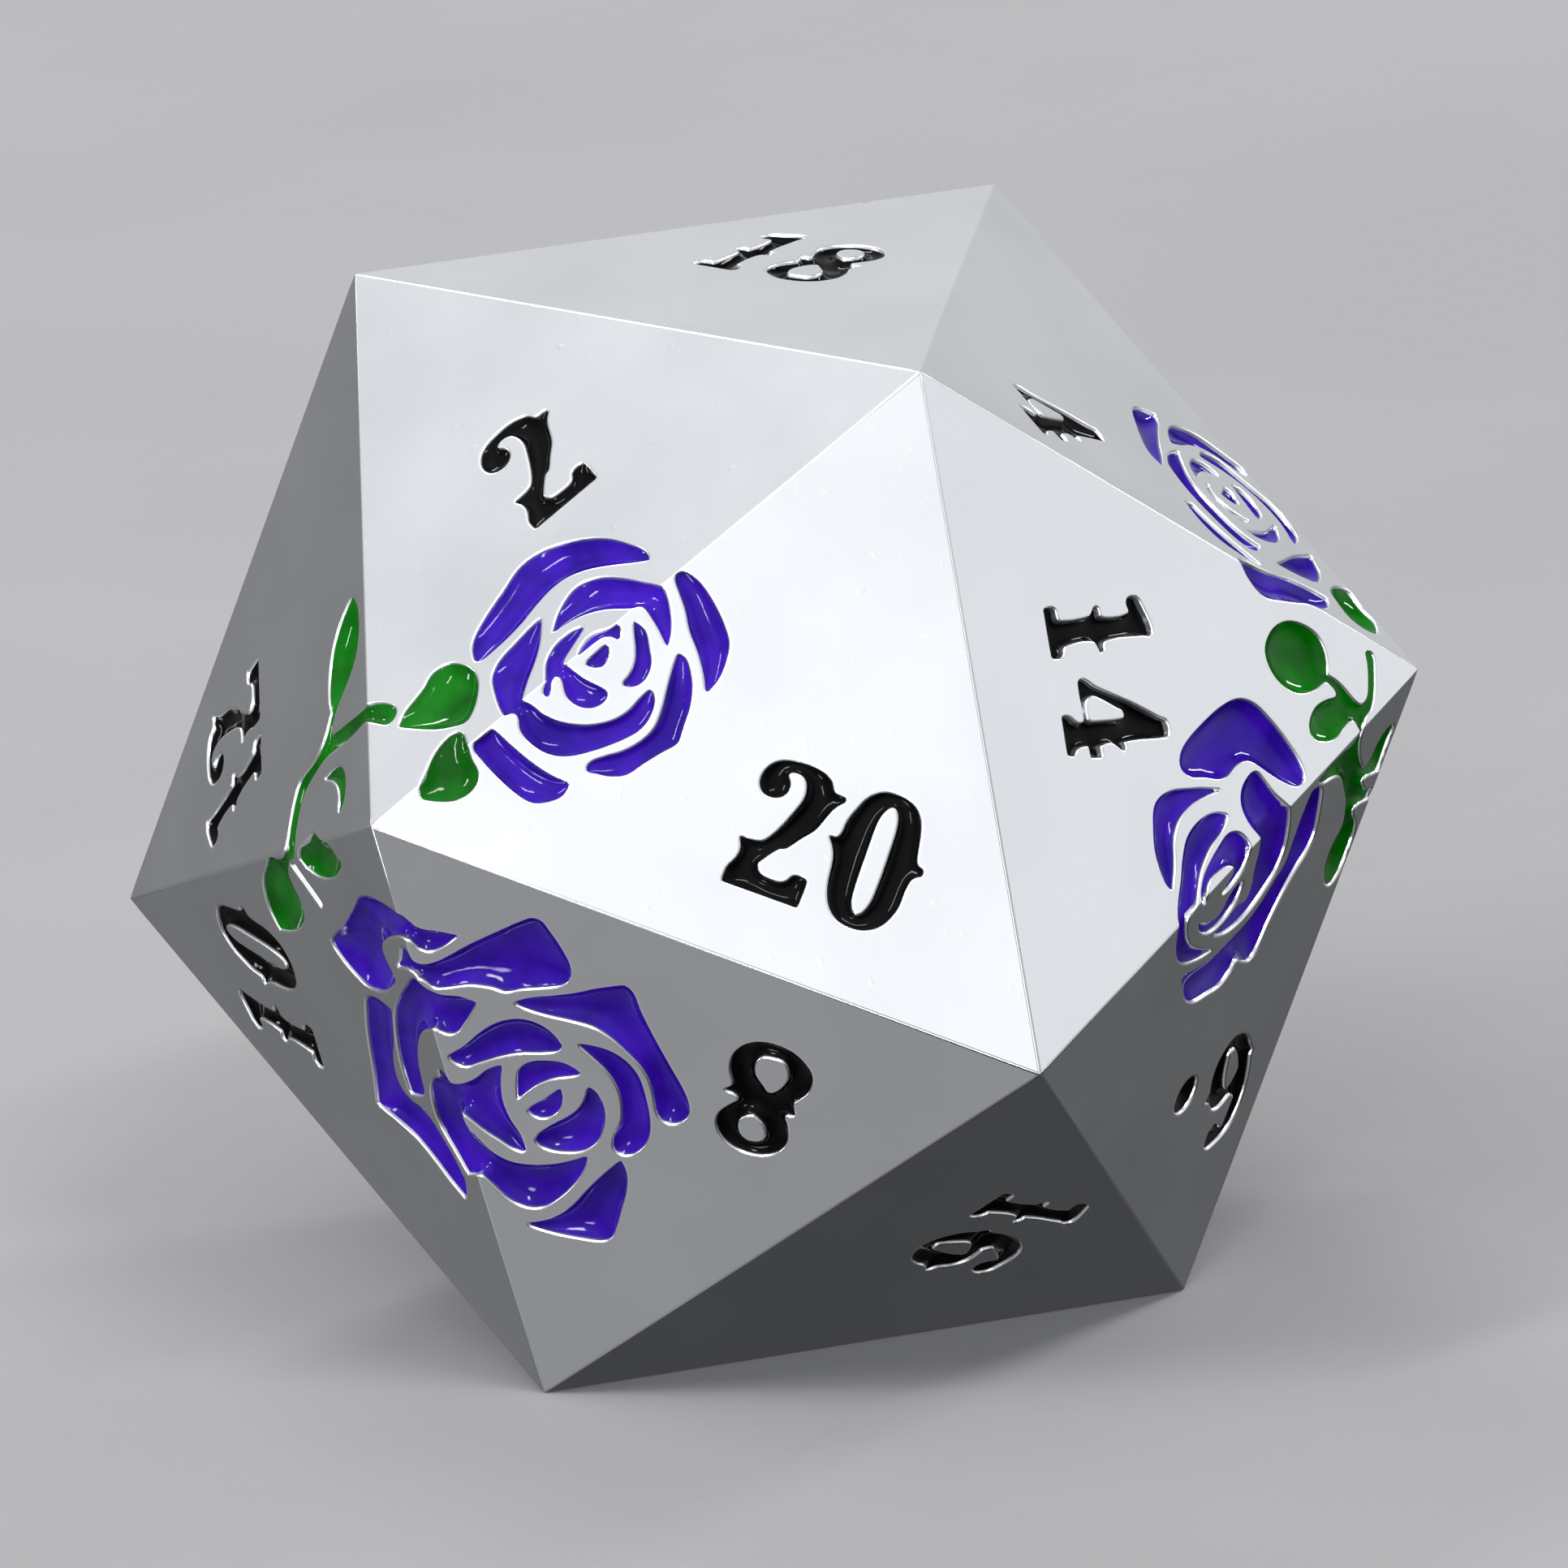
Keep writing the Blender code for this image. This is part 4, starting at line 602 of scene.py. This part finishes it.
# ---- the artwork laid on the sheets ----
def glyph_outlines(character):
    return GLYPHS[character.replace("9", "6")]


def digit_width(character):
    points, _ = outline(glyph_outlines(character)[0])
    return points[:, 0].max()


def digit_loops(character, left, foot):
    """Closed lines of one digit; the 9 is the 6 turned half round."""
    loops = [flowing(text, DIGIT_STEP) for text in glyph_outlines(character)]
    if character == "9":
        loops = [np.array(SIX_BOX) - loop for loop in loops]
    return [loop + (left, foot) for loop in loops]


def dot_loop(x, y):
    angles = np.arange(DOT_POINTS) * 2 * math.pi / DOT_POINTS
    return np.stack((x + DOT_RADIUS * np.cos(angles), y + DOT_RADIUS * np.sin(angles)), axis=1)


def opposite_number(number):
    normal = HALF_TURN @ NORMALS[NUMBERS.index(number)]
    return NUMBERS[int((NORMALS @ normal).argmax())]


def numeral_recesses():
    """Every digit and dot as (node, list of recesses)."""
    out = []
    for number, (order, lefts, foot, centre, angle) in NUMERALS.items():
        sheet = face_sheet(order)
        if centre:
            sheet = sheet.moved(*centre, angle)
        middle = (lefts[0] + lefts[-1] + digit_width(str(number)[-1])) / 2
        other = opposite_number(number)
        text = str(other)
        total = sum(digit_width(c) for c in text) + DIGIT_GAP * (len(text) - 1)
        back_lefts = [middle - total / 2]
        if len(text) == 2:
            back_lefts.append(back_lefts[0] + digit_width(text[0]) + DIGIT_GAP)
        for value, xs, where in ((number, lefts, sheet), (other, back_lefts, sheet.turned(HALF_TURN))):
            fill = DEEP_FILL if value in DEEP_NUMERALS else DIGIT_FILL
            for letter, character, x in zip("ab", str(value), xs):
                recess = Recess(where, digit_loops(character, x, foot), fill)
                out.append((f"digit_{value}_{letter}", [recess]))
            if value in (6, 9):
                x = xs[-1] + digit_width("6") + DOT_RADIUS + DIGIT_GAP
                out.append((f"dot_{value}", [Recess(where, [dot_loop(x, foot + DOT_RADIUS / 3)], fill)]))
    return out


def motif_recesses():
    """Every rose, leaf and vine as (node, list of recesses)."""
    drawn = [
        ("rose_a", ROSE_A, edge_sheet("c", "a")),
        ("rose_b", ROSE_B, edge_sheet("c", "g")),
        ("rose_c", ROSE_C, edge_sheet("f", "b")),
        ("rose_d", ROSE_D, face_sheet("afe")),
    ]
    greens = (
        (LEAVES_A, edge_sheet("c", "a")),
        (VINE_C, corner_sheet("c", "a")),
        (VINE_F, corner_sheet("f", "b")),
        (LEAF_D, face_sheet("afe")),
    )
    for shapes, sheet in greens:
        drawn.extend((name, {name: text}, sheet) for name, text in shapes.items())
    out = []
    for side, turn in (("front", np.eye(3)), ("back", HALF_TURN)):
        for name, shapes, sheet in drawn:
            where = sheet.turned(turn)
            fill = PETAL_FILL if name.startswith("rose") else LEAF_FILL
            pools = [Recess(where, [flowing(text, OUTLINE_STEP)], fill) for text in shapes.values()]
            out.append((f"{name}_{side}", pools))
    return out


def bare_grooves():
    """Shallow grooves beside the vines that hold no enamel."""
    sheet = corner_sheet("c", "a")
    loops = [flowing(STALK_GROOVE, OUTLINE_STEP)]
    return [Recess(sheet.turned(turn), loops, None, GROOVE_DEPTH) for turn in (np.eye(3), HALF_TURN)]


# ---- depth of the metal and of the enamel at a distance from an outline ----
def metal_depth(distance):
    """Depth of the metal: flat face, rounded rim, steep wall, flat floor."""
    distance = np.where(np.abs(distance) < SLIVER, 0, distance)
    rim = np.clip(distance, 0, RIM_RADIUS)
    round_part = RIM_RADIUS - np.sqrt(np.clip(RIM_RADIUS ** 2 - (rim - RIM_RADIUS) ** 2, 0, None))
    wall = np.clip(-distance / WALL_DRAFT, 0, 1) * (POCKET_DEPTH - RIM_RADIUS)
    return round_part + wall


def settled(points, triangles, reach):
    """Sag of a liquid skin held at its border: 0 there and close to 1 farther in than the reach."""
    count = len(points)
    stiff = np.zeros((count, count))
    weight = np.zeros(count)
    for k in range(3):
        a, b, c = triangles[:, k], triangles[:, (k + 1) % 3], triangles[:, (k + 2) % 3]
        p, q = points[a] - points[c], points[b] - points[c]
        double = np.maximum(np.linalg.norm(np.cross(p, q), axis=1), 1e-9)
        pull = np.clip(dots(p, q) / double / 2, 0.01, 10)  # half the cotangent, kept positive
        np.add.at(weight, c, double / 6)
        for first, last in ((a, b), (b, a)):
            np.add.at(stiff, (first, last), -pull)
            np.add.at(stiff, (first, first), pull)
    stiff[np.arange(count), np.arange(count)] += weight / reach ** 2
    free = np.ones(count, bool)
    free[border_edges(triangles).ravel()] = False
    sag = np.zeros(count)
    sag[free] = np.linalg.solve(stiff[np.ix_(free, free)], weight[free] / reach ** 2)
    return sag


# ---- meshes ----
class Points:
    """Points numbered once each; points closer than the grain count as one."""

    def __init__(self):
        self.index = {}
        self.items = []

    def add(self, point):
        key = tuple(int(round(v / GRAIN)) for v in point)
        if key not in self.index:
            self.index[key] = len(self.items)
            self.items.append(tuple(point))
        return self.index[key]


def triangulated(flat, segments):
    """Constrained triangulation of flat points; returns its points and triangles."""
    verts, _, faces, _, _, _ = delaunay_2d_cdt([Vector(p) for p in flat], segments, [], 0, 1e-6)
    return np.array([(v.x, v.y) for v in verts]), np.array([f for f in faces if len(f) == 3])


def without_slivers(flat, triangles, corners):
    """Leaves out the triangles whose three points all lie on one side of the face."""
    keep = np.ones(len(triangles), bool)
    for k in range(3):
        side = unit(corners[(k + 1) % 3] - corners[k])
        off = np.abs((flat - corners[k]) @ (side[1], -side[0]))
        keep &= ~(off < SLIVER)[triangles].all(axis=1)
    return triangles[keep]


def face_segments(recesses):
    """All ring segments of all recesses, sorted by the face that they lie on."""
    lines = {face: [] for face in range(len(FACES))}
    for recess in recesses:
        for gap in BODY_RINGS:
            for loop in recess.offset_loops(gap):
                line = split_at_folds(recess.sheet, loop)
                points, _ = recess.sheet.drop(line)
                _, faces = recess.sheet.drop((line + after(line)) / 2)
                for a, b, face in zip(points, after(points), faces):
                    lines[int(face)].append((a, b))
    return lines


def edge_marks(lines):
    """Where rings cross each edge of the die, as fractions from its first corner."""
    marks = {}
    for face, segments in lines.items():
        ends = np.array([p for segment in segments for p in segment]).reshape(-1, 3)
        for pair in side_names(FACES[NUMBERS[face]]):
            start, side = CORNERS[pair[0]], CORNERS[pair[1]] - CORNERS[pair[0]]
            found = marks.setdefault(pair, [np.linspace(0, 1, EDGE_PARTS + 1)])
            if len(ends):
                t = (ends - start) @ side / side.dot(side)
                gap = np.linalg.norm(ends - start - t[:, None] * side, axis=1)
                found.append(t[gap < 1e-6])
    return {pair: np.unique(np.round(np.concatenate(found), 9)) for pair, found in marks.items()}


def bevel_lines(corners):
    """Lines beside the three sides of a face that carry the rounding of its edges."""
    out = []
    centre = corners.mean(axis=0)
    depth = np.linalg.norm(corners[0] - centre) / 2
    spread = EDGE_RADIUS * math.tan(TILT)
    for part in BEVEL_PARTS:
        scale = 1 - spread * part / depth
        ring_corners = centre + (corners - centre) * scale
        for k in range(3):
            out.append((ring_corners[k], ring_corners[(k + 1) % 3]))
    return out


def body_piece(recesses):
    """The metal body as one closed mesh."""
    lines = face_segments(recesses)
    marks = edge_marks(lines)
    all_points, all_faces, triangles = [], [], []
    total = 0
    for face, names in enumerate(FACES.values()):
        sheet = face_sheet(names)
        table = Points()
        segments = []
        for k, pair in enumerate(side_names(names)):
            first, last = names[k], names[(k + 1) % 3]
            cuts = marks[pair] if pair[0] == first else 1 - marks[pair][::-1]
            line = CORNERS[first] + cuts[:, None] * (CORNERS[last] - CORNERS[first])
            numbers = [table.add(p) for p in sheet.draw(line)]
            segments.extend(zip(numbers, numbers[1:]))
        for a, b in lines[face] + bevel_lines(FACE_CORNERS[face]):
            pair = (table.add(sheet.draw(a)), table.add(sheet.draw(b)))
            if pair[0] != pair[1]:
                segments.append(pair)
        flat, faces = triangulated(table.items, segments)
        faces = without_slivers(flat, faces, sheet.draw(FACE_CORNERS[face]))
        points = sheet.origin + flat[:, :1] * sheet.x + flat[:, 1:2] * sheet.y
        all_points.append(points)
        all_faces.append(np.full(len(points), face))
        triangles.append(faces + total)
        total += len(points)
    points = np.vstack(all_points)
    faces = np.concatenate(all_faces)
    placed = sink(points, faces, recess_depth(points, recesses), EDGE_RADIUS)
    return mesh_piece("die_body_fine", placed, np.vstack(triangles), weld=WELD)


def recess_depth(points, recesses):
    """How far the metal lies below each point of the plain die."""
    depth = np.zeros(len(points))
    for recess in recesses:
        near = np.linalg.norm(points - recess.middle, axis=1) < recess.reach + WIDE_REACH
        if near.any():
            found = np.minimum(metal_depth(recess.distance(points[near])), recess.floor)
            depth[near] = np.maximum(depth[near], found)
    return depth


def fold_lines(sheet, low, high):
    """Edges of the die that cross the box of a drawing, as drawn segments."""
    out = []
    for pair in dict.fromkeys(pair for names in FACES.values() for pair in side_names(names)):
        ends = np.array([CORNERS[name] for name in pair])
        if (ends @ sheet.z).min() >= 0:
            steps = np.linspace(*sheet.draw(ends), 201)
            hits = np.flatnonzero(((steps > low - 1) & (steps < high + 1)).all(axis=1))
            if len(hits) > 1:
                out.append((steps[hits[0]], steps[hits[-1]]))
    return out


def enamel_solid(recess):
    """Points and triangles of one pool of enamel."""
    sheet = recess.sheet
    border = recess.offset_loops(ENAMEL_OVERLAP)
    low = np.vstack(border).min(axis=0)
    high = np.vstack(border).max(axis=0)
    table = Points()
    segments = []
    for loop in border:
        numbers = [table.add(p) for p in split_at_folds(sheet, loop)]
        segments.extend((a, b) for a, b in zip(numbers, numbers[1:] + numbers[:1]) if a != b)
    for a, b in fold_lines(sheet, low, high):
        count = max(2, int(np.linalg.norm(b - a) / FOLD_SPACING))
        numbers = [table.add(p) for p in np.linspace(a, b, count)]
        segments.extend((p, q) for p, q in zip(numbers, numbers[1:]) if p != q)
        across = unit(np.array((a[1] - b[1], b[0] - a[0])))
        for part in FOLD_PARTS:
            shift = part * ENAMEL_FOLD * math.tan(TILT)
            add_inside(table, recess, np.linspace(a, b, count) + across * shift, FOLD_MARGIN)
    for gap in ENAMEL_RINGS:
        for loop in recess.offset_loops(gap):
            for p in evenly(loop, RING_SPACING[gap < -0.5]):
                table.add(p)
    xs = np.arange(low[0], high[0], ENAMEL_GRID)
    ys = np.arange(low[1], high[1], ENAMEL_GRID * math.sqrt(3) / 2)
    grid = np.array([(x + (row % 2) * ENAMEL_GRID / 2, y) for row, y in enumerate(ys) for x in xs])
    add_inside(table, recess, grid, GRID_MARGIN)
    flat, triangles = triangulated(table.items, segments)
    triangles = triangles[within(flat[triangles].mean(axis=1), border)]
    used, triangles = np.unique(triangles, return_inverse=True)
    triangles = triangles.reshape(-1, 3)
    flat = flat[used]
    points, faces = sheet.drop(flat)
    edge, sag, reach = recess.fill
    top = sink(points, faces, edge + sag * settled(points, triangles, reach), ENAMEL_FOLD)
    bottom = sink(points, faces, POCKET_DEPTH - FLOOR_COVER, ENAMEL_FOLD)
    count = len(flat)
    sides = border_quads(triangles, count)
    return np.vstack((top, bottom)), np.vstack((triangles, triangles[:, ::-1] + count, sides))


def add_inside(table, recess, flat, margin):
    """Adds the drawn points that lie inside the recess by more than the margin."""
    flat = flat.reshape(-1, 2)
    flat = flat[within(flat, recess.loops)]
    if len(flat):
        points, _ = recess.sheet.drop(flat)
        for p in flat[recess.distance(points) < -margin]:
            table.add(p)


def border_edges(triangles):
    """Edges that belong to one triangle only."""
    edges = np.vstack((triangles[:, [0, 1]], triangles[:, [1, 2]], triangles[:, [2, 0]]))
    twins = set(map(tuple, edges[:, ::-1].tolist()))
    return np.array([edge for edge in edges.tolist() if tuple(edge) not in twins])


def border_quads(triangles, count):
    """Side walls, as triangles, between the open border of a sheet and its copy below."""
    out = []
    for a, b in border_edges(triangles).tolist():
        out.append((b, a, a + count))
        out.append((b, a + count, b + count))
    return np.array(out)


def mesh_piece(name, points, triangles, weld=None):
    """Blender object from points in percent, measured from the middle of the die."""
    mesh = bpy.data.meshes.new(name)
    metres = points * PERCENT + (0, 0, ACROSS_FACES / 2)
    # the CAD's corners are bevelled, so the tips of the rounded ones are cut at its box
    metres = np.clip(metres, tuple(CAD_BOX[0]), tuple(CAD_BOX[1]))
    mesh.from_pydata(metres.tolist(), [], triangles.tolist())
    if weld:
        work = bmesh.new()
        work.from_mesh(mesh)
        bmesh.ops.remove_doubles(work, verts=work.verts, dist=weld * PERCENT)
        bmesh.ops.dissolve_degenerate(work, edges=work.edges, dist=weld * PERCENT)
        bmesh.ops.triangulate(work, faces=work.faces)
        work.to_mesh(mesh)
        work.free()
    mesh.validate()
    piece = bpy.data.objects.new(name, mesh)
    bpy.context.scene.collection.objects.link(piece)
    return piece


def shade_by_area(mesh):
    """Smooth shading whose corner normals follow the larger neighbours, so flats stay flat."""
    count = len(mesh.vertices)
    at = np.empty(count * 3)
    mesh.vertices.foreach_get("co", at)
    at = at.reshape(-1, 3)
    corners = np.array([p.vertices[:] for p in mesh.polygons])
    a, b, c = at[corners[:, 0]], at[corners[:, 1]], at[corners[:, 2]]
    weight = np.cross(b - a, c - a)
    normals = np.zeros((count, 3))
    for k in range(3):
        np.add.at(normals, corners[:, k], weight)
    normals /= np.maximum(np.linalg.norm(normals, axis=1), 1e-20)[:, None]
    mesh.shade_smooth()
    mesh.normals_split_custom_set_from_vertices(normals.tolist())


# ---- materials ----
METAL_DARK = (0.755, 0.775, 0.805)
METAL_LIGHT = (0.785, 0.805, 0.835)
METAL_ROUGHNESS = (0.30, 0.32)
# name: (deep colour, light colour, roughness, specular level)
ENAMELS = {
    "black_enamel": ((0.0012, 0.0012, 0.0014), (0.0025, 0.0025, 0.0028), 0.07, 0.07),
    "purple_enamel": ((0.013, 0.0016, 0.175), (0.032, 0.0042, 0.31), 0.06, 0.16),
    "green_enamel": ((0.0006, 0.056, 0.0010), (0.0018, 0.120, 0.0032), 0.06, 0.17),
}
# the enamel of a node whose name starts with the word; the others are green
ENAMEL_OF = {"digit": "black_enamel", "dot": "black_enamel", "rose": "purple_enamel"}


def add_node(tree, kind, inputs=(), **values):
    """New node with its own values set, and its inputs set to numbers or linked to outputs."""
    node = tree.nodes.new(kind)
    for key, value in values.items():
        setattr(node, key, value)
    for key, value in dict(inputs).items():
        if isinstance(value, bpy.types.NodeSocket):
            tree.links.new(value, node.inputs[key])
        else:
            node.inputs[key].default_value = value
    return node


class Nodes:
    """A new material, with short calls for its node tree."""

    def __init__(self, name):
        self.material = bpy.data.materials.new(name)
        self.material.use_nodes = True
        self.tree = self.material.node_tree
        self.shader = self.tree.nodes["Principled BSDF"]
        self.place = add_node(self.tree, "ShaderNodeTexCoord").outputs["Object"]

    def link(self, source, target):
        self.tree.links.new(source, target)

    def noise(self, size, detail):
        """Noise whose features are about this many metres across."""
        inputs = {"Scale": 1 / size, "Detail": detail, "Roughness": 0.5, "Vector": self.place}
        return add_node(self.tree, "ShaderNodeTexNoise", inputs).outputs["Fac"]

    def between(self, value, low, high, start=0.35, end=0.65):
        """Maps a value to a range."""
        inputs = {"From Min": start, "From Max": end, "To Min": low, "To Max": high, "Value": value}
        return add_node(self.tree, "ShaderNodeMapRange", inputs).outputs["Result"]

    def mixed(self, amount, first, second):
        """Colour between two colours."""
        inputs = {"Factor": amount, "A": (*first, 1), "B": (*second, 1)}
        return add_node(self.tree, "ShaderNodeMix", inputs, data_type="RGBA").outputs["Result"]

    def bump(self, layers):
        """Adds bump layers, each of (height, depth in metres)."""
        below = {}
        for height, depth in layers:
            inputs = {"Strength": 1, "Distance": depth, "Height": height, **below}
            below = {"Normal": add_node(self.tree, "ShaderNodeBump", inputs).outputs["Normal"]}
        self.link(below["Normal"], self.shader.inputs["Normal"])


def metal_material():
    """Plated die-cast metal: satin faces with soft clouding, fine grain and a few specks."""
    m = Nodes("plated_metal")
    clouds = m.noise(0.006, 4)
    grain = m.noise(0.00012, 2)
    waves = m.noise(0.0022, 2)
    specks = m.noise(0.00045, 1)
    m.link(m.mixed(m.between(clouds, 0, 1), METAL_DARK, METAL_LIGHT), m.shader.inputs["Base Color"])
    m.link(m.between(clouds, *METAL_ROUGHNESS), m.shader.inputs["Roughness"])
    m.shader.inputs["Metallic"].default_value = 1
    m.bump(((waves, 3e-7), (m.between(specks, 0, 1, 0.70, 0.80), 3e-6), (grain, 6e-7)))
    return m.material


def enamel_material(name, deep, light, roughness, gloss):
    """Poured enamel: glossy, with slow swirls of tone, ripples and a little dust."""
    m = Nodes(name)
    swirls = m.noise(0.0016, 3)
    ripples = m.noise(0.0007, 1)
    dust = m.noise(0.00011, 2)
    m.link(m.mixed(m.between(swirls, 0, 1), deep, light), m.shader.inputs["Base Color"])
    m.link(m.between(dust, roughness * 0.7, roughness * 1.5), m.shader.inputs["Roughness"])
    m.shader.inputs["Specular IOR Level"].default_value = gloss
    m.bump(((ripples, 4e-6), (m.between(dust, 0, 1, 0.72, 0.82), 2e-6)))
    return m.material


# ---- pieces ----
def file_piece(piece, node, material):
    """Gives a piece its material and tells the frame what it stands for."""
    piece.data.materials.clear()
    piece.data.materials.append(material)
    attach(piece, "root")
    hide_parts(node)


def enamel_piece(node, recesses):
    """All pools of one node as one object."""
    parts = [enamel_solid(recess) for recess in recesses]
    points = np.vstack([part[0] for part in parts])
    offsets = np.cumsum([0] + [len(part[0]) for part in parts[:-1]])
    triangles = np.vstack([part[1] + offset for part, offset in zip(parts, offsets)])
    piece = mesh_piece(node + "_enamel", points, triangles)
    piece.data.shade_smooth()
    piece.data.set_sharp_from_angle(angle=math.radians(55))
    return piece


def make_die():
    numerals = numeral_recesses()
    motifs = motif_recesses()
    recesses = [recess for _, pools in numerals + motifs for recess in pools]
    body = body_piece(recesses + bare_grooves())
    shade_by_area(body.data)
    file_piece(body, "die_body", metal_material())
    enamels = {name: enamel_material(name, *look) for name, look in ENAMELS.items()}
    for node, pools in numerals + motifs:
        slot = ENAMEL_OF.get(node.split("_")[0], "green_enamel")
        file_piece(enamel_piece(node, pools), node, enamels[slot])


# ---- studio ----
FLOOR_SIDE = 1.6
FLOOR_GAP = 2e-5                            # keeps the floor off the face that rests on it
FLOOR_DARK = (0.275, 0.275, 0.282)
FLOOR_LIGHT = (0.29, 0.29, 0.298)
CAMERA_FROM = (-12.308, -28.967, 10.1625)   # in edge lengths
CAMERA_TO = (0.0170, -0.0074, 0.7554)
CAMERA_ROLL = -1.61
CAMERA_LENS = 526.7
SENSOR = 36.0
# azimuth and height angle in degrees, distance, width and height in metres, radiance
KEY_LIGHT = (-58, 50, 1.2, 0.6, 0.5, 3.6)
FILL_LIGHT = (-34, 12, 1.2, 0.5, 0.3, 4.0)
PANES = {  # small and bright, for the highlights on the enamel
    "pane_left": (-74, 38, 1.2, 0.09, 0.42, 42),
    "pane_front": (6, 56, 1.2, 0.46, 0.08, 42),
    "pane_low": (-40, 6, 1.2, 0.10, 0.22, 44),
    "pane_right": (102, 32, 1.2, 0.08, 0.42, 38),
    "pane_back": (-176, 50, 1.2, 0.46, 0.08, 34),
    "pane_far_left": (-118, 8, 1.2, 0.08, 0.26, 34),
}
# soft patches of room light: azimuth, height angle, spread in degrees, radiance
SKY_PATCHES = (
    (-21, 22, 50, 0.95), (66, 12, 50, 0.92), (-131, 52, 50, 0.54), (157, 17, 45, 0.66),
    (-80, 20, 50, 0.45), (0, 80, 50, 0.90), (-166, -6, 40, 0.13), (-62, -54, 55, 0.06),
    (-38, -16, 35, 0.34), (90, -10, 30, 0.26), (-50, -22, 6.5, 26.0),
    (-100, -65, 45, 0.31), (-125, -30, 45, 0.14), (115, -31, 45, 0.07),
)
SKY_BASE = 0.02


def direction(azimuth, height):
    a, e = math.radians(azimuth), math.radians(height)
    return Vector((math.sin(a) * math.cos(e), -math.cos(a) * math.cos(e), math.sin(e)))


def light(name, azimuth, height, distance, width, tall, radiance):
    """Softbox of even brightness that faces the die."""
    lamp = bpy.data.lights.new(name, "AREA")
    lamp.shape = "RECTANGLE"
    lamp.size, lamp.size_y = width, tall
    lamp.energy = radiance * math.pi * width * tall
    made = bpy.data.objects.new(name, lamp)
    toward = direction(azimuth, height)
    made.location = toward * distance + Vector((0, 0, ACROSS_FACES / 2))
    made.rotation_euler = toward.to_track_quat("Z", "Y").to_euler()
    made.visible_camera = False
    bpy.context.scene.collection.objects.link(made)
    return made


def world():
    """Soft light from a few wide patches of a white room."""
    made = bpy.data.worlds.new("studio")
    bpy.context.scene.world = made
    made.use_nodes = True
    tree = made.node_tree
    place = add_node(tree, "ShaderNodeTexCoord").outputs["Generated"]
    total = SKY_BASE
    for azimuth, height, spread, radiance in SKY_PATCHES:
        toward = {0: place, 1: direction(azimuth, height)}
        dot = add_node(tree, "ShaderNodeVectorMath", toward, operation="DOT_PRODUCT")
        reach = {"From Min": math.cos(math.radians(spread)), "From Max": 1, "To Max": radiance,
                 "Value": dot.outputs["Value"]}
        patch = add_node(tree, "ShaderNodeMapRange", reach, interpolation_type="SMOOTHSTEP")
        both = {0: patch.outputs["Result"], 1: total}
        total = add_node(tree, "ShaderNodeMath", both, operation="ADD").outputs["Value"]
    background = tree.nodes["Background"]
    background.inputs["Color"].default_value = (0.985, 0.99, 1.0, 1)
    tree.links.new(total, background.inputs["Strength"])


def see_through(m):
    """Makes the back of a surface clear, so that the die can be seen from below its floor."""
    back = add_node(m.tree, "ShaderNodeNewGeometry").outputs["Backfacing"]
    clear = add_node(m.tree, "ShaderNodeBsdfTransparent").outputs["BSDF"]
    mix = add_node(m.tree, "ShaderNodeMixShader", {0: back, 1: m.shader.outputs["BSDF"], 2: clear})
    m.link(mix.outputs["Shader"], m.tree.nodes["Material Output"].inputs["Surface"])


def floor():
    bpy.ops.mesh.primitive_plane_add(size=FLOOR_SIDE, location=(0, 0, -FLOOR_GAP))
    made = bpy.context.active_object
    made.name = "floor"
    m = Nodes("pale_floor")
    m.link(m.mixed(m.between(m.noise(0.03, 3), 0, 1), FLOOR_DARK, FLOOR_LIGHT), m.shader.inputs["Base Color"])
    m.link(m.between(m.noise(0.001, 2), 0.75, 0.85), m.shader.inputs["Roughness"])
    m.shader.inputs["Specular IOR Level"].default_value = 0.1
    see_through(m)
    made.data.materials.append(m.material)
    made.visible_glossy = False


def camera():
    data = bpy.data.cameras.new("camera")
    data.lens = CAMERA_LENS
    data.sensor_width = SENSOR
    data.clip_start, data.clip_end = 0.01, 10
    made = bpy.data.objects.new("camera", data)
    start, end = Vector(CAMERA_FROM) * EDGE, Vector(CAMERA_TO) * EDGE
    turn = (end - start).to_track_quat("-Z", "Y").to_matrix().to_4x4()
    roll = Matrix.Rotation(math.radians(CAMERA_ROLL), 4, "Z")
    made.matrix_world = Matrix.Translation(start) @ turn @ roll
    bpy.context.scene.collection.objects.link(made)
    bpy.context.scene.camera = made


make_die()
floor()
world()
light("key", *KEY_LIGHT).visible_glossy = False
light("fill", *FILL_LIGHT).visible_glossy = False
for name, values in PANES.items():
    light(name, *values)
camera()
bpy.context.scene.view_settings.view_transform = "Standard"
